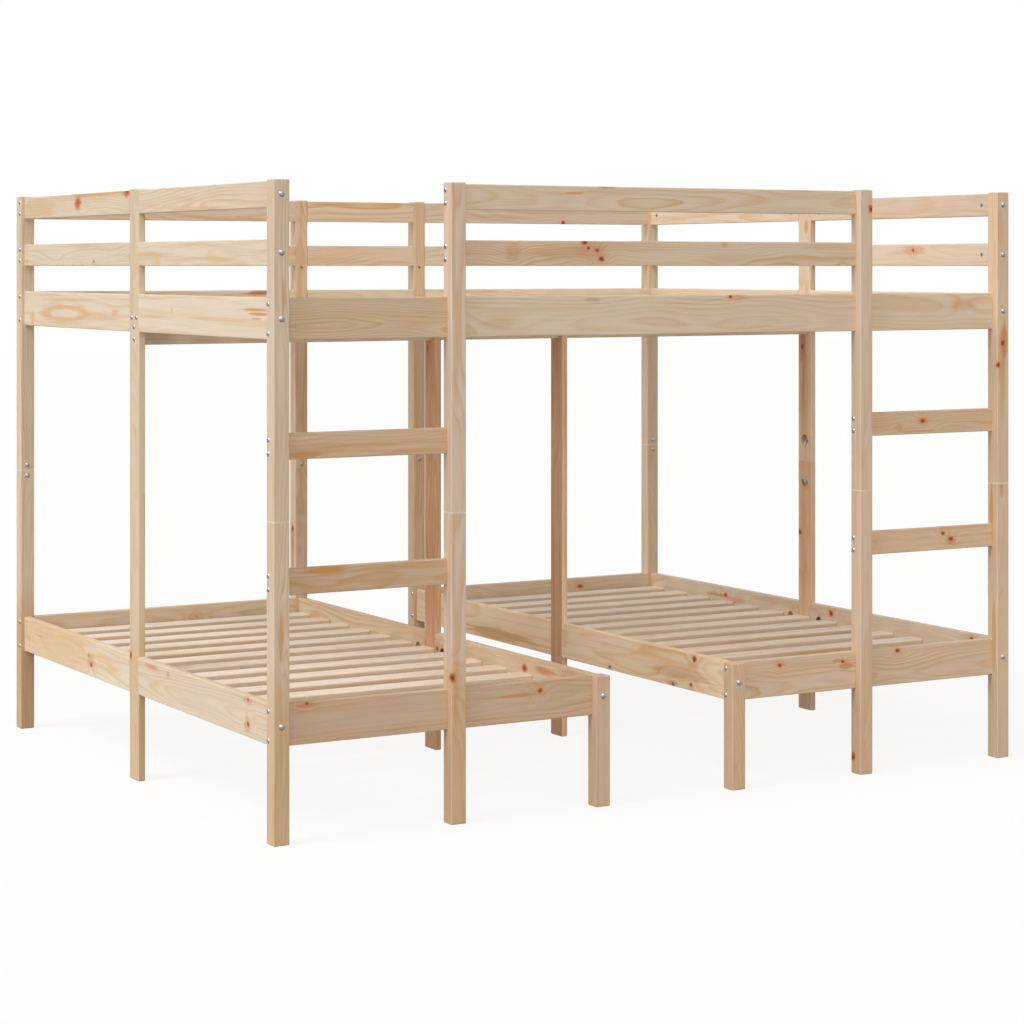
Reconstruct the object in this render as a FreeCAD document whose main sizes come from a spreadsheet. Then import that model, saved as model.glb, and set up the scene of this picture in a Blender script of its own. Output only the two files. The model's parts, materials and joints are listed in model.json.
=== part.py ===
import FreeCAD, Part
import os

# Triple bunk bed in bare pine: two single beds side by side with an aisle between them,
# under one large upper deck that is reached by two fixed ladders.
# X runs along the front, Y to the back, Z up. The origin is on the floor, under the middle
# of the bed. Every length is in millimetres.

doc = FreeCAD.newDocument("triple_bunk_bed")
sheet = doc.addObject("Spreadsheet::Sheet", "Sizes")

SIZES = (
    # beds
    ("deck_width", 1600),          # clear width of the upper bed and length of the lower ones, along Y
    ("lower_bed_width", 800),      # clear width of each lower bed, along X
    ("aisle_width", 344),          # between the frames of the lower beds
    ("lower_rail_z", 211),         # underside of the lower rails
    ("deck_rail_z", 1093),         # underside of the deck rails
    # timber sections
    ("post_side", 38),
    ("board_thick", 18),
    ("rail_height", 92),
    ("slim_width", 58),            # guard boards, rungs, middle posts and both beam boards
    ("edge_round", 2.5),
    ("end_bevel_share", 0.8),      # of the rounding, on the feet and the tops of the posts
    ("seam_bevel_share", 0.3),     # of the rounding, where the two halves of a post meet
    ("joint_play", 0.3),           # in lap joints and slots
    # posts and ladders
    ("seam_z", 700),
    ("post_proud", 3),             # post top above the top guard board
    ("guard_gap", 69),
    ("ladder_clear", 398),         # between a corner post and its ladder post
    ("step_rise", 294.5),          # from rung top to rung top, and to the deck rail's top
    # slats and what carries them
    ("slat_width", 56),
    ("slat_thick", 15),
    ("slat_round", 5),
    ("slat_play", 1),              # at each end of a slat
    ("lower_slat_drop", 53),       # from a lower rail's top down to the underside of the slats
    ("deck_slat_drop", 48),        # the same for the deck
    ("slat_margin_lower", 22),     # from the end rail to the first slat of a lower bed
    ("slat_margin_deck", 20),      # from the side rail to the first slat of the deck
    ("slat_count_lower", 13),
    ("slat_count_deck", 17),
    ("ledger_height", 28),
    ("ledger_thick", 18),
    # bolts along Y and the rods that join boards through a post
    ("bolt_diameter", 6),
    ("bolt_head_diameter", 14),
    ("bolt_head_height", 3.5),
    ("bolt_play", 0.25),           # radial, round every bolt, rod and pin in its bore
    ("socket_width", 5),
    ("socket_depth", 1.8),
    ("nut_diameter", 10),
    ("nut_length", 14),
    ("nut_setback", 35),           # from a board's end to its barrel nut
    ("nut_slot_width", 1.6),
    ("nut_slot_depth", 1.2),
    ("thread_past_nut", 4),
    # round pockets beside the middle posts, each with a crescent washer and a nut on the rod
    ("pocket_diameter", 25),
    ("pocket_setback", 38),        # from a board's end to the middle of its pocket
    ("pocket_nut_width", 10),      # across flats
    ("pocket_nut_height", 5),
    ("pocket_nut_play", 0.5),      # from the nut to the pocket's floor
    ("pocket_washer_height", 4),
    # dome-head screws along X
    ("screw_diameter", 5),
    ("screw_head_diameter", 12),
    ("screw_head_height", 3),
    ("screw_bite", 42),            # length in the board's end
    ("screw_inset", 14),           # from a board's edge to its screw
    # countersunk screws of the ledgers and the lapped rails
    ("small_screw_diameter", 4),
    ("small_screw_head_diameter", 8),
    ("small_screw_length", 32),
    ("small_screw_end_margin", 60),
    ("ledger_screws_lower", 6),    # along each ledger of a lower bed
    ("ledger_screws_deck", 7),     # along each ledger of the deck
    # fittings that join the two halves of a post
    ("seam_pin_diameter", 12),
    ("seam_pin_length", 70),
    ("seam_screw_offset", 14.5),   # above and below the seam
    ("seam_screw_length", 26),
    ("seam_hole_diameter", 32),
    ("seam_hole_offset", 61),
    ("seam_rod_diameter", 8),
    ("seam_nut_width", 13),        # across flats
    ("seam_nut_height", 6.5),
    ("seam_nut_play", 0.5),        # on both sides of the nut in its pocket
    ("seam_washer_height", 5),
    # holes in the two inner back posts, for fixing the bed to a wall
    ("wall_hole_diameter", 7),
    ("wall_hole_drop", 4.5),       # from the middle guard board's underside down to the hole
    ("cut_overrun", 1),
)
for row, (alias, value) in enumerate(SIZES, start=1):
    sheet.set("A%d" % row, alias)
    sheet.set("B%d" % row, str(value))
    sheet.setAlias("B%d" % row, alias)
doc.recompute()


def cell(alias):
    """The value that a cell holds, for a choice that an expression can't make."""
    return float(sheet.get(alias))


def total(*terms):
    return "(" + " + ".join(terms) + ")"


def less(first, *terms):
    return "(" + " - ".join((first,) + terms) + ")"


def half(term):
    return "(" + term + " / 2)"


def twice(term):
    return "(2 * " + term + ")"


def minus(term):
    return "(0 - " + term + ")"


# Expressions of the sheet's cells, named for what they are on the bed
nothing = "0"
post = "Sizes.post_side"
board = "Sizes.board_thick"
rail = "Sizes.rail_height"
slim = "Sizes.slim_width"
recess = half(less(post, board))
bed_width = total("Sizes.lower_bed_width", twice(board), twice(recess))
half_x = total(half("Sizes.aisle_width"), bed_width)
half_y = total(half("Sizes.deck_width"), post)
deck_length = twice(less(half_x, recess, board))

deck_top_z = total("Sizes.deck_rail_z", rail)
lower_top_z = total("Sizes.lower_rail_z", rail)
mid_guard_z = total(deck_top_z, "Sizes.guard_gap")
top_guard_z = total(mid_guard_z, slim, "Sizes.guard_gap")
post_top_z = total(top_guard_z, slim, "Sizes.post_proud")
high_rung_z = less(deck_top_z, "Sizes.step_rise", slim)
low_rung_z = less(high_rung_z, "Sizes.step_rise")
lower_slat_z = less(lower_top_z, "Sizes.lower_slat_drop")
deck_slat_z = less(deck_top_z, "Sizes.deck_slat_drop")
cap_z = less(deck_slat_z, board)
web_z = less(cap_z, slim)

# Near corner of each row of posts and boards, along X and along Y
corner_left_x = minus(half_x)
ladder_left_x = total(corner_left_x, post, "Sizes.ladder_clear")
inner_left_x = less(total(corner_left_x, bed_width), post)
inner_right_x = less(half_x, bed_width)
ladder_right_x = less(half_x, twice(post), "Sizes.ladder_clear")
corner_right_x = less(half_x, post)
post_front_y = minus(half_y)
post_back_y = less(half_y, post)

side_left_x = less(minus(half(deck_length)), board)
side_right_x = half(deck_length)
aisle_left_x = total(inner_left_x, recess)
aisle_right_x = total(inner_right_x, recess)
front_board_y = less(minus(half("Sizes.deck_width")), board)
back_board_y = half("Sizes.deck_width")
middle_y = minus(half(slim))

HEX_SIDES = 6
X, Y, Z = FreeCAD.Vector(1, 0, 0), FreeCAD.Vector(0, 1, 0), FreeCAD.Vector(0, 0, 1)
AXES = {"x": X, "y": Y, "z": Z}

pieces = {}      # piece name: its body
places = {}      # piece name: expressions of its near corner
nodes = []       # what is written, one file each


def bind(thing, properties, expressions):
    for name, expression in zip(properties, expressions):
        thing.setExpression(name, expression)


def put(thing, place):
    bind(thing, ("Placement.Base.x", "Placement.Base.y", "Placement.Base.z"), place)


def turned(direction, across):
    """Rotation that lays a fitting's own Z along direction and its own Y along across."""
    return FreeCAD.Rotation(across.cross(direction), across, direction, "ZYX")


def edges_along(shape, axis):
    """Names of the straight edges that run along an axis."""
    names = []
    for number, edge in enumerate(shape.Edges, start=1):
        if edge.Curve.TypeId == "Part::GeomLine" and abs(edge.Curve.Direction.dot(AXES[axis])) > 0.99:
            names.append("Edge%d" % number)
    return names


def edges_at(shape, axis, level):
    """Names of the edges of the end face that lies at a level along an axis."""
    names = []
    for number, edge in enumerate(shape.Edges, start=1):
        box = edge.BoundBox
        low, high = {"x": (box.XMin, box.XMax), "y": (box.YMin, box.YMax), "z": (box.ZMin, box.ZMax)}[axis]
        if abs(low - level) < 1e-3 and abs(high - level) < 1e-3:
            names.append("Edge%d" % number)
    return names


def make_board(name, sizes, place, along):
    """A planed board or post: a box with its four long edges rounded."""
    body = doc.addObject("PartDesign::Body", name)
    stock = body.newObject("PartDesign::AdditiveBox", name + "_stock")
    bind(stock, ("Length", "Width", "Height"), sizes)
    put(body, place)
    stock.recompute()
    rounding = body.newObject("PartDesign::Fillet", name + "_rounding")
    rounding.Base = (stock, edges_along(stock.Shape, along))
    rounding.setExpression("Radius", "Sizes.edge_round")
    pieces[name] = body
    places[name] = place
    return body


def bevel_end(name, at_top, share):
    """Bevel all round the foot or the top of an upright piece."""
    body = pieces[name]
    base = body.Tip
    base.recompute()
    box = base.Shape.BoundBox
    level = box.ZMax if at_top else box.ZMin
    bevel = body.newObject("PartDesign::Chamfer", name + ("_top_bevel" if at_top else "_foot_bevel"))
    bevel.Base = (base, edges_at(base.Shape, "z", level))
    bevel.setExpression("Size", "(Sizes.edge_round * Sizes.%s)" % share)


def bore(names, start, direction, diameter, depth):
    """A round hole through each named piece, from a point of the whole bed's frame."""
    for name in names:
        body = pieces[name]
        hole = body.newObject("PartDesign::SubtractiveCylinder", name + "_bore")
        hole.Refine = False
        hole.setExpression("Radius", half(diameter))
        hole.setExpression("Height", depth)
        across = Z if abs(direction.z) < 0.5 else X
        hole.Placement = FreeCAD.Placement(FreeCAD.Vector(), turned(direction, across))
        put(hole, [less(at, corner) for at, corner in zip(start, places[name])])


def notch(name, corner, sizes):
    """A rectangular cut in one piece, given in the whole bed's frame."""
    body = pieces[name]
    cut = body.newObject("PartDesign::SubtractiveBox", name + "_notch")
    bind(cut, ("Length", "Width", "Height"), sizes)
    put(cut, [less(at, own) for at, own in zip(corner, places[name])])


def make_group(name, members):
    """One node that holds several separate pieces."""
    group = doc.addObject("Part::Compound", name)
    group.Links = members
    nodes.append(group)
    return group


# Posts. A full-height post is two halves that meet at the seam.
def make_post(name, x, y, width=post, depth=post):
    """Lower and upper half of a full-height post."""
    for part, low, high in (("lower", nothing, "Sizes.seam_z"), ("upper", "Sizes.seam_z", post_top_z)):
        half_name = name + "_" + part
        body = make_board(half_name, (width, depth, less(high, low)), (x, y, low), "z")
        bevel_end(half_name, part == "upper", "end_bevel_share")
        bevel_end(half_name, part == "lower", "seam_bevel_share")
        nodes.append(body)


CORNER_POSTS = {
    "post_front_left": (corner_left_x, post_front_y),
    "post_front_right": (corner_right_x, post_front_y),
    "post_back_left": (corner_left_x, post_back_y),
    "post_back_right": (corner_right_x, post_back_y),
}
LADDER_POSTS = {
    "ladder_post_left": (ladder_left_x, post_front_y),
    "ladder_post_right": (ladder_right_x, post_front_y),
}
INNER_POSTS = {
    "post_back_inner_left": (inner_left_x, post_back_y),
    "post_back_inner_right": (inner_right_x, post_back_y),
}
SQUARE_POSTS = {**CORNER_POSTS, **LADDER_POSTS, **INNER_POSTS}
for name, (x, y) in SQUARE_POSTS.items():
    make_post(name, x, y)
make_post("side_post_left", side_left_x, middle_y, board, slim)
make_post("side_post_right", side_right_x, middle_y, board, slim)

# Short legs at the aisle, and the two boards that carry the beam over the aisle
for name, x in (("aisle_leg_left", inner_left_x), ("aisle_leg_right", inner_right_x)):
    body = make_board(name, (post, post, lower_top_z), (x, post_front_y, nothing), "z")
    bevel_end(name, False, "end_bevel_share")
    bevel_end(name, True, "end_bevel_share")
    nodes.append(body)
for name, x in (("aisle_post_left", aisle_left_x), ("aisle_post_right", aisle_right_x)):
    body = make_board(name, (board, slim, cap_z), (x, middle_y, nothing), "z")
    bevel_end(name, False, "end_bevel_share")
    slot_y = minus(total(half(board), "Sizes.joint_play"))
    slot_width = total(board, twice("Sizes.joint_play"))
    notch(name, (less(x, "Sizes.cut_overrun"), slot_y, web_z),
          (total(board, twice("Sizes.cut_overrun")), slot_width, total(slim, "Sizes.cut_overrun")))
    nodes.append(body)


# Boards along X, between two posts
def board_x(name, left_post_x, right_post_x, y, z, height):
    start = total(left_post_x, post)
    return make_board(name, (less(right_post_x, start), board, height), (start, y, z), "x")


# Boards along Y, in two pieces that meet the middle post from both sides
def boards_y(name, x, z, height):
    length = less(middle_y, total(post_front_y, post))
    front = make_board(name + "_front", (board, length, height), (x, total(post_front_y, post), z), "y")
    back = make_board(name + "_back", (board, length, height), (x, half(slim), z), "y")
    return [front, back]


# Frames of the two lower beds
LOWER_BEDS = {
    "left": (corner_left_x, inner_left_x, side_left_x, aisle_left_x),
    "right": (inner_right_x, corner_right_x, aisle_right_x, side_right_x),
}
lower_back_rails = []
for side, (left_x, right_x, left_side_x, right_side_x) in LOWER_BEDS.items():
    nodes.append(board_x("lower_front_rail_" + side, left_x, right_x, front_board_y,
                         "Sizes.lower_rail_z", rail))
    lower_back_rails.append(board_x("lower_back_rail_" + side, left_x, right_x, back_board_y,
                                    "Sizes.lower_rail_z", rail))
    outer_x, aisle_x = (left_side_x, right_side_x) if side == "left" else (right_side_x, left_side_x)
    for place, x in (("outer", outer_x), ("aisle", aisle_x)):
        name = "lower_%s_rails_%s" % (place, side)
        make_group(name, boards_y(name, x, "Sizes.lower_rail_z", rail))
make_group("lower_back_rails", lower_back_rails)

# The lower front rail runs on behind the ladder post, which is lapped over it
for side, x in (("left", ladder_left_x), ("right", ladder_right_x)):
    notch("ladder_post_%s_lower" % side,
          (less(x, "Sizes.cut_overrun"), less(front_board_y, "Sizes.joint_play"),
           less("Sizes.lower_rail_z", "Sizes.joint_play")),
          (total(post, twice("Sizes.cut_overrun")), total(board, "Sizes.joint_play", "Sizes.cut_overrun"),
           total(rail, twice("Sizes.joint_play"))))

# Deck rails
FRONT_BAYS = {
    "left": (corner_left_x, ladder_left_x),
    "centre": (ladder_left_x, ladder_right_x),
    "right": (ladder_right_x, corner_right_x),
}
BACK_BAYS = {
    "left": (corner_left_x, inner_left_x),
    "centre": (inner_left_x, inner_right_x),
    "right": (inner_right_x, corner_right_x),
}
for bay, (left_x, right_x) in FRONT_BAYS.items():
    nodes.append(board_x("deck_front_rail_" + bay, left_x, right_x, front_board_y,
                         "Sizes.deck_rail_z", rail))
back_rails = [board_x("deck_back_rail_" + bay, left_x, right_x, back_board_y, "Sizes.deck_rail_z", rail)
              for bay, (left_x, right_x) in BACK_BAYS.items()]
make_group("deck_back_rails", back_rails)
for side, x in (("left", side_left_x), ("right", side_right_x)):
    make_group("deck_side_rails_" + side, boards_y("deck_side_rail_" + side, x, "Sizes.deck_rail_z", rail))

# Middle beam of the deck: an upright web under a flat cap
beam_start = minus(half(deck_length))
web_place = (beam_start, minus(half(board)), web_z)
cap_place = (beam_start, middle_y, cap_z)
nodes.append(make_board("beam_web", (deck_length, board, slim), web_place, "x"))
nodes.append(make_board("beam_cap", (deck_length, slim, board), cap_place, "x"))

# Guard boards: two high on every side, but not over the ladders
GUARDS = (("mid", mid_guard_z), ("top", top_guard_z))
front_guards = [board_x("front_guard_" + level, ladder_left_x, ladder_right_x, front_board_y, z, slim)
                for level, z in GUARDS]
make_group("front_guards", front_guards)
for bay, (left_x, right_x) in BACK_BAYS.items():
    members = [board_x("back_guard_%s_%s" % (bay, level), left_x, right_x, back_board_y, z, slim)
               for level, z in GUARDS]
    make_group("back_guards_" + bay, members)
for side, x in (("left", side_left_x), ("right", side_right_x)):
    members = []
    for level, z in GUARDS:
        members += boards_y("side_guard_%s_%s" % (side, level), x, z, slim)
    make_group("side_guards_" + side, members)

# Ladder rungs
RUNGS = (("low", low_rung_z), ("high", high_rung_z))
for side in ("left", "right"):
    left_x, right_x = FRONT_BAYS[side]
    members = [board_x("rung_%s_%s" % (side, level), left_x, right_x, front_board_y, z, slim)
               for level, z in RUNGS]
    make_group("ladder_rungs_" + side, members)


# Slats lie in rows on ledgers, and the deck's also on the beam's cap
def make_slats(name, sizes, place, row_axis, clear, margin, count):
    """A row of equal slats from one end of a bed to the other."""
    body = doc.addObject("PartDesign::Body", name)
    body.AllowCompound = True
    stock = body.newObject("PartDesign::AdditiveBox", name + "_stock")
    bind(stock, ("Length", "Width", "Height"), sizes)
    row = body.newObject("PartDesign::LinearPattern", name + "_row")
    row.Originals = [stock]
    direction = [axis for axis in body.Origin.OriginFeatures if axis.Role == row_axis.upper() + "_Axis"][0]
    row.Direction = (direction, [""])
    row.setExpression("Length", less(clear, twice(margin), "Sizes.slat_width"))
    row.setExpression("Occurrences", count)
    body.Tip = row
    put(body, place)
    stock.recompute()
    row.recompute()
    rounding = body.newObject("PartDesign::Fillet", name + "_rounding")
    rounding.Base = (row, edges_along(row.Shape, "x" if row_axis == "y" else "y"))
    rounding.setExpression("Radius", "Sizes.slat_round")
    body.Tip = rounding
    nodes.append(body)


lower_slat_length = less("Sizes.lower_bed_width", twice("Sizes.slat_play"))
deck_slat_length = less(half("Sizes.deck_width"), twice("Sizes.slat_play"))
lower_slat_y = total(minus(half("Sizes.deck_width")), "Sizes.slat_margin_lower")
deck_slat_x = total(minus(half(deck_length)), "Sizes.slat_margin_deck")
for side, (left_x, right_x, left_side_x, right_side_x) in LOWER_BEDS.items():
    start_x = total(left_side_x, board, "Sizes.slat_play")
    make_slats("lower_slats_" + side, (lower_slat_length, "Sizes.slat_width", "Sizes.slat_thick"),
               (start_x, lower_slat_y, lower_slat_z), "y",
               "Sizes.deck_width", "Sizes.slat_margin_lower", "Sizes.slat_count_lower")
deck_row_y = {"front": total(minus(half("Sizes.deck_width")), "Sizes.slat_play"), "back": "Sizes.slat_play"}
for end, y in deck_row_y.items():
    make_slats("deck_slats_" + end, ("Sizes.slat_width", deck_slat_length, "Sizes.slat_thick"),
               (deck_slat_x, y, deck_slat_z), "x",
               deck_length, "Sizes.slat_margin_deck", "Sizes.slat_count_deck")

LEDGERS = []     # name, corner, length, direction into what is behind it, pieces behind it, its axis
lower_ledgers = []
for side, (left_x, right_x, left_side_x, right_side_x) in LOWER_BEDS.items():
    outer, aisle = ("outer", "aisle") if side == "left" else ("aisle", "outer")
    for place, x, into in ((outer, total(left_side_x, board), -X),
                           (aisle, less(right_side_x, "Sizes.ledger_thick"), X)):
        name = "lower_ledger_%s_%s" % (side, place)
        corner = (x, minus(half("Sizes.deck_width")), less(lower_slat_z, "Sizes.ledger_height"))
        sizes = ("Sizes.ledger_thick", "Sizes.deck_width", "Sizes.ledger_height")
        lower_ledgers.append(make_board(name, sizes, corner, "y"))
        backing = ["lower_%s_rails_%s_%s" % (place, side, end) for end in ("front", "back")]
        backing.append("side_post_%s_lower" % side if place == "outer" else "aisle_post_" + side)
        LEDGERS.append((name, corner, "Sizes.deck_width", into, backing, "y"))
make_group("lower_ledgers", lower_ledgers)
deck_ledgers = []
for end, y, into in (("front", minus(half("Sizes.deck_width")), -Y),
                     ("back", less(half("Sizes.deck_width"), "Sizes.ledger_thick"), Y)):
    name = "deck_ledger_" + end
    corner = (beam_start, y, less(deck_slat_z, "Sizes.ledger_height"))
    sizes = (deck_length, "Sizes.ledger_thick", "Sizes.ledger_height")
    deck_ledgers.append(make_board(name, sizes, corner, "x"))
    backing = ["deck_%s_rail_%s" % (end, bay) for bay in FRONT_BAYS]
    upright = "ladder_post_%s_upper" if end == "front" else "post_back_inner_%s_upper"
    backing += [upright % side for side in ("left", "right")]
    LEDGERS.append((name, corner, deck_length, into, backing, "x"))
make_group("deck_ledgers", deck_ledgers)


# Masters of the fittings. Each lies along its own Z, with its head or face at zero.
def add_dome(body, diameter, height):
    """A low spherical head that rises from zero towards minus Z."""
    radius = "((%s * %s / 4 + %s * %s) / (2 * %s))" % (diameter, diameter, height, height, height)
    dome = body.newObject("PartDesign::AdditiveSphere", body.Name + "_dome")
    dome.setExpression("Radius", radius)
    dome.setExpression("Angle2", "0 deg - asin(%s / %s)" % (less(radius, height), radius))
    dome.setExpression("Placement.Base.z", less(radius, height))


def add_rod(body, diameter, start, length):
    rod = body.newObject("PartDesign::AdditiveCylinder", body.Name + "_rod")
    rod.setExpression("Radius", half(diameter))
    rod.setExpression("Height", length)
    rod.setExpression("Placement.Base.z", start)


def add_socket(body, head_height):
    socket = body.newObject("PartDesign::SubtractivePrism", body.Name + "_socket")
    socket.Polygon = HEX_SIDES
    socket.setExpression("Circumradius", "(Sizes.socket_width / sqrt(3))")
    socket.setExpression("Height", total("Sizes.socket_depth", "Sizes.cut_overrun"))
    socket.setExpression("Placement.Base.z", minus(total(head_height, "Sizes.cut_overrun")))


def dome_screw(name, head_diameter, head_height, diameter, length):
    body = doc.addObject("PartDesign::Body", name)
    add_dome(body, head_diameter, head_height)
    add_rod(body, diameter, minus(half(head_height)), total(length, half(head_height)))
    add_socket(body, head_height)
    return body


def plain_rod(name, diameter, length):
    body = doc.addObject("PartDesign::Body", name)
    add_rod(body, diameter, nothing, length)
    return body


def barrel_nut(name):
    body = plain_rod(name, "Sizes.nut_diameter", "Sizes.nut_length")
    thread = body.newObject("PartDesign::SubtractiveCylinder", name + "_thread")
    thread.setExpression("Radius", half("Sizes.bolt_diameter"))
    thread.setExpression("Height", total("Sizes.nut_diameter", twice("Sizes.cut_overrun")))
    thread.Placement = FreeCAD.Placement(FreeCAD.Vector(), turned(Y, Z))
    cut_start = minus(total(half("Sizes.nut_diameter"), "Sizes.cut_overrun"))
    put(thread, (nothing, cut_start, half(board)))
    slot = body.newObject("PartDesign::SubtractiveBox", name + "_slot")
    bind(slot, ("Length", "Width", "Height"),
         (total("Sizes.nut_diameter", twice("Sizes.cut_overrun")), "Sizes.nut_slot_width",
          total("Sizes.nut_slot_depth", "Sizes.cut_overrun")))
    put(slot, (cut_start, minus(half("Sizes.nut_slot_width")), minus("Sizes.cut_overrun")))
    return body


def crescent_washer(name):
    """The washer that fills the end of a pocket. Its Z runs along the rod, away from the post, and
    its Y from the board's face into the board; zero is the middle of the pocket."""
    body = doc.addObject("PartDesign::Body", name)
    disc = body.newObject("PartDesign::AdditiveCylinder", name + "_disc")
    disc.setExpression("Radius", pocket_washer_radius)
    disc.setExpression("Height", less(side_pocket_depth, "Sizes.joint_play"))
    disc.Placement = FreeCAD.Placement(FreeCAD.Vector(), turned(Y, Z))
    put(disc, (nothing, minus(half(board)), nothing))
    flat = body.newObject("PartDesign::SubtractiveBox", name + "_flat")
    bind(flat, ("Length", "Width", "Height"),
         ("Sizes.pocket_diameter", twice(board), "Sizes.pocket_diameter"))
    put(flat, (minus(half("Sizes.pocket_diameter")), minus(board), pocket_nut_z))
    hole = body.newObject("PartDesign::SubtractiveCylinder", name + "_hole")
    hole.setExpression("Radius", half("Sizes.bolt_diameter"))
    hole.setExpression("Height", "Sizes.pocket_diameter")
    put(hole, (nothing, nothing, minus("Sizes.pocket_diameter")))
    return body


def pocket_nut(name):
    """The nut on the washer's flat, in the same frame as the washer."""
    body = doc.addObject("PartDesign::Body", name)
    hexagon = body.newObject("PartDesign::AdditivePrism", name + "_hexagon")
    hexagon.Polygon = HEX_SIDES
    hexagon.setExpression("Circumradius", "(Sizes.pocket_nut_width / sqrt(3))")
    hexagon.setExpression("Height", "Sizes.pocket_nut_height")
    put(hexagon, (nothing, nothing, pocket_nut_z))
    thread = body.newObject("PartDesign::SubtractiveCylinder", name + "_thread")
    thread.setExpression("Radius", half("Sizes.bolt_diameter"))
    thread.setExpression("Height", "Sizes.pocket_diameter")
    put(thread, (nothing, nothing, minus(half("Sizes.pocket_diameter"))))
    return body


def countersunk_screw(name):
    body = doc.addObject("PartDesign::Body", name)
    head = body.newObject("PartDesign::AdditiveCone", name + "_head")
    head.setExpression("Radius1", half("Sizes.small_screw_head_diameter"))
    head.setExpression("Radius2", half("Sizes.small_screw_diameter"))
    head.setExpression("Height", half(less("Sizes.small_screw_head_diameter", "Sizes.small_screw_diameter")))
    add_rod(body, "Sizes.small_screw_diameter", nothing, "Sizes.small_screw_length")
    return body


bolt_reach = total(post, "Sizes.nut_setback", "Sizes.nut_diameter", "Sizes.thread_past_nut")
rod_past_post = total("Sizes.nut_setback", half("Sizes.nut_diameter"), "Sizes.thread_past_nut")
post_rod_length = total(post, twice(rod_past_post))
middle_rod_length = total(slim, twice("Sizes.pocket_setback"))
side_pocket_depth = total(half(board), half("Sizes.pocket_nut_width"), "Sizes.pocket_nut_play")
pocket_washer_radius = less(half("Sizes.pocket_diameter"), "Sizes.bolt_play")
pocket_nut_z = less("Sizes.pocket_washer_height", pocket_washer_radius)
screw_length = total(post, "Sizes.screw_bite")
side_screw_length = total(board, "Sizes.screw_bite")
MASTERS = {
    "bolt": dome_screw("bolt_master", "Sizes.bolt_head_diameter", "Sizes.bolt_head_height",
                       "Sizes.bolt_diameter", bolt_reach),
    "screw": dome_screw("screw_master", "Sizes.screw_head_diameter", "Sizes.screw_head_height",
                        "Sizes.screw_diameter", screw_length),
    "side_screw": dome_screw("side_screw_master", "Sizes.screw_head_diameter", "Sizes.screw_head_height",
                             "Sizes.screw_diameter", side_screw_length),
    "seam_screw": dome_screw("seam_screw_master", "Sizes.screw_head_diameter", "Sizes.screw_head_height",
                             "Sizes.screw_diameter", "Sizes.seam_screw_length"),
    "nut": barrel_nut("nut_master"),
    "post_rod": plain_rod("post_rod_master", "Sizes.bolt_diameter", post_rod_length),
    "middle_rod": plain_rod("middle_rod_master", "Sizes.bolt_diameter", middle_rod_length),
    "crescent": crescent_washer("crescent_master"),
    "pocket_nut": pocket_nut("pocket_nut_master"),
    "small_screw": countersunk_screw("small_screw_master"),
    "seam_pin": plain_rod("seam_pin_master", "Sizes.seam_pin_diameter", "Sizes.seam_pin_length"),
}
fitted = {group: [] for group in ("side_rail_bolts", "barrel_nuts", "joint_rods", "frame_screws",
                                  "ledger_screws", "seam_pins", "seam_screws")}


def fit(group, master, start, direction, across):
    """One more fitting of a kind, with its head or face at start."""
    link = doc.addObject("App::Link", "%s_%d" % (group, len(fitted[group]) + 1))
    link.LinkedObject = MASTERS[master]
    link.LinkTransform = False
    link.Placement = FreeCAD.Placement(FreeCAD.Vector(), turned(direction, across))
    put(link, start)
    fitted[group].append(link)


bolt_bore = total("Sizes.bolt_diameter", twice("Sizes.bolt_play"))
screw_bore = total("Sizes.screw_diameter", twice("Sizes.bolt_play"))


def fit_nut(name, face_point, direction, across):
    """A barrel nut in a board, pressed in from the board's inner face."""
    bore([name], face_point, direction, "Sizes.nut_diameter", "Sizes.nut_length")
    fit("barrel_nuts", "nut", face_point, direction, across)


def middle_of(name, axis):
    """Middle of a piece's own thickness or height, as an expression in the bed's frame."""
    number = "xyz".index(axis)
    stock = pieces[name].Group[0]
    prop = ("Length", "Width", "Height")[number]
    expressions = dict(stock.ExpressionEngine)
    return total(places[name][number], half(expressions[prop]))


def far_of(name, axis):
    """Far face of a piece along an axis, as an expression in the bed's frame."""
    number = "xyz".index(axis)
    stock = pieces[name].Group[0]
    prop = ("Length", "Width", "Height")[number]
    return total(places[name][number], dict(stock.ExpressionEngine)[prop])


# Bolts along Y: through a square post into the end of a side board
def bolt_side_board(name, post_name, at_front, inner_is_right):
    x, z = middle_of(name, "x"), middle_of(name, "z")
    into = Y if at_front else -Y
    head_y = post_front_y if at_front else half_y
    end_y = total(post_front_y, post) if at_front else post_back_y
    start = (x, head_y, z)
    bore([post_name], start, into, bolt_bore, post)
    bore([name], (x, end_y, z), into, bolt_bore, less(bolt_reach, post))
    fit("side_rail_bolts", "bolt", start, into, Z)
    nut_y = total(end_y, "Sizes.nut_setback") if at_front else less(end_y, "Sizes.nut_setback")
    face_x = far_of(name, "x") if inner_is_right else places[name][0]
    fit_nut(name, (face_x, nut_y, z), -X if inner_is_right else X, Y)


# Rods along Y: through a middle post into a round pocket in the side board on each side of it.
# A crescent washer and a nut in each pocket pull the boards against the post.
def rod_middle_post(front_name, back_name, post_name, inner_is_right):
    x, z = middle_of(front_name, "x"), middle_of(front_name, "z")
    into = -X if inner_is_right else X
    reach = "Sizes.pocket_setback"
    front_y, back_y = less(middle_y, reach), total(half(slim), reach)
    bore([front_name], (x, front_y, z), Y, bolt_bore, reach)
    bore([post_name], (x, middle_y, z), Y, bolt_bore, slim)
    bore([back_name], (x, half(slim), z), Y, bolt_bore, reach)
    fit("joint_rods", "middle_rod", (x, front_y, z), Y, Z)
    for name, y, away in ((front_name, front_y, -Y), (back_name, back_y, Y)):
        face_x = far_of(name, "x") if inner_is_right else places[name][0]
        bore([name], (face_x, y, z), into, "Sizes.pocket_diameter", side_pocket_depth)
        for master in ("crescent", "pocket_nut"):
            fit("joint_rods", master, (x, y, z), away, into)


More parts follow.
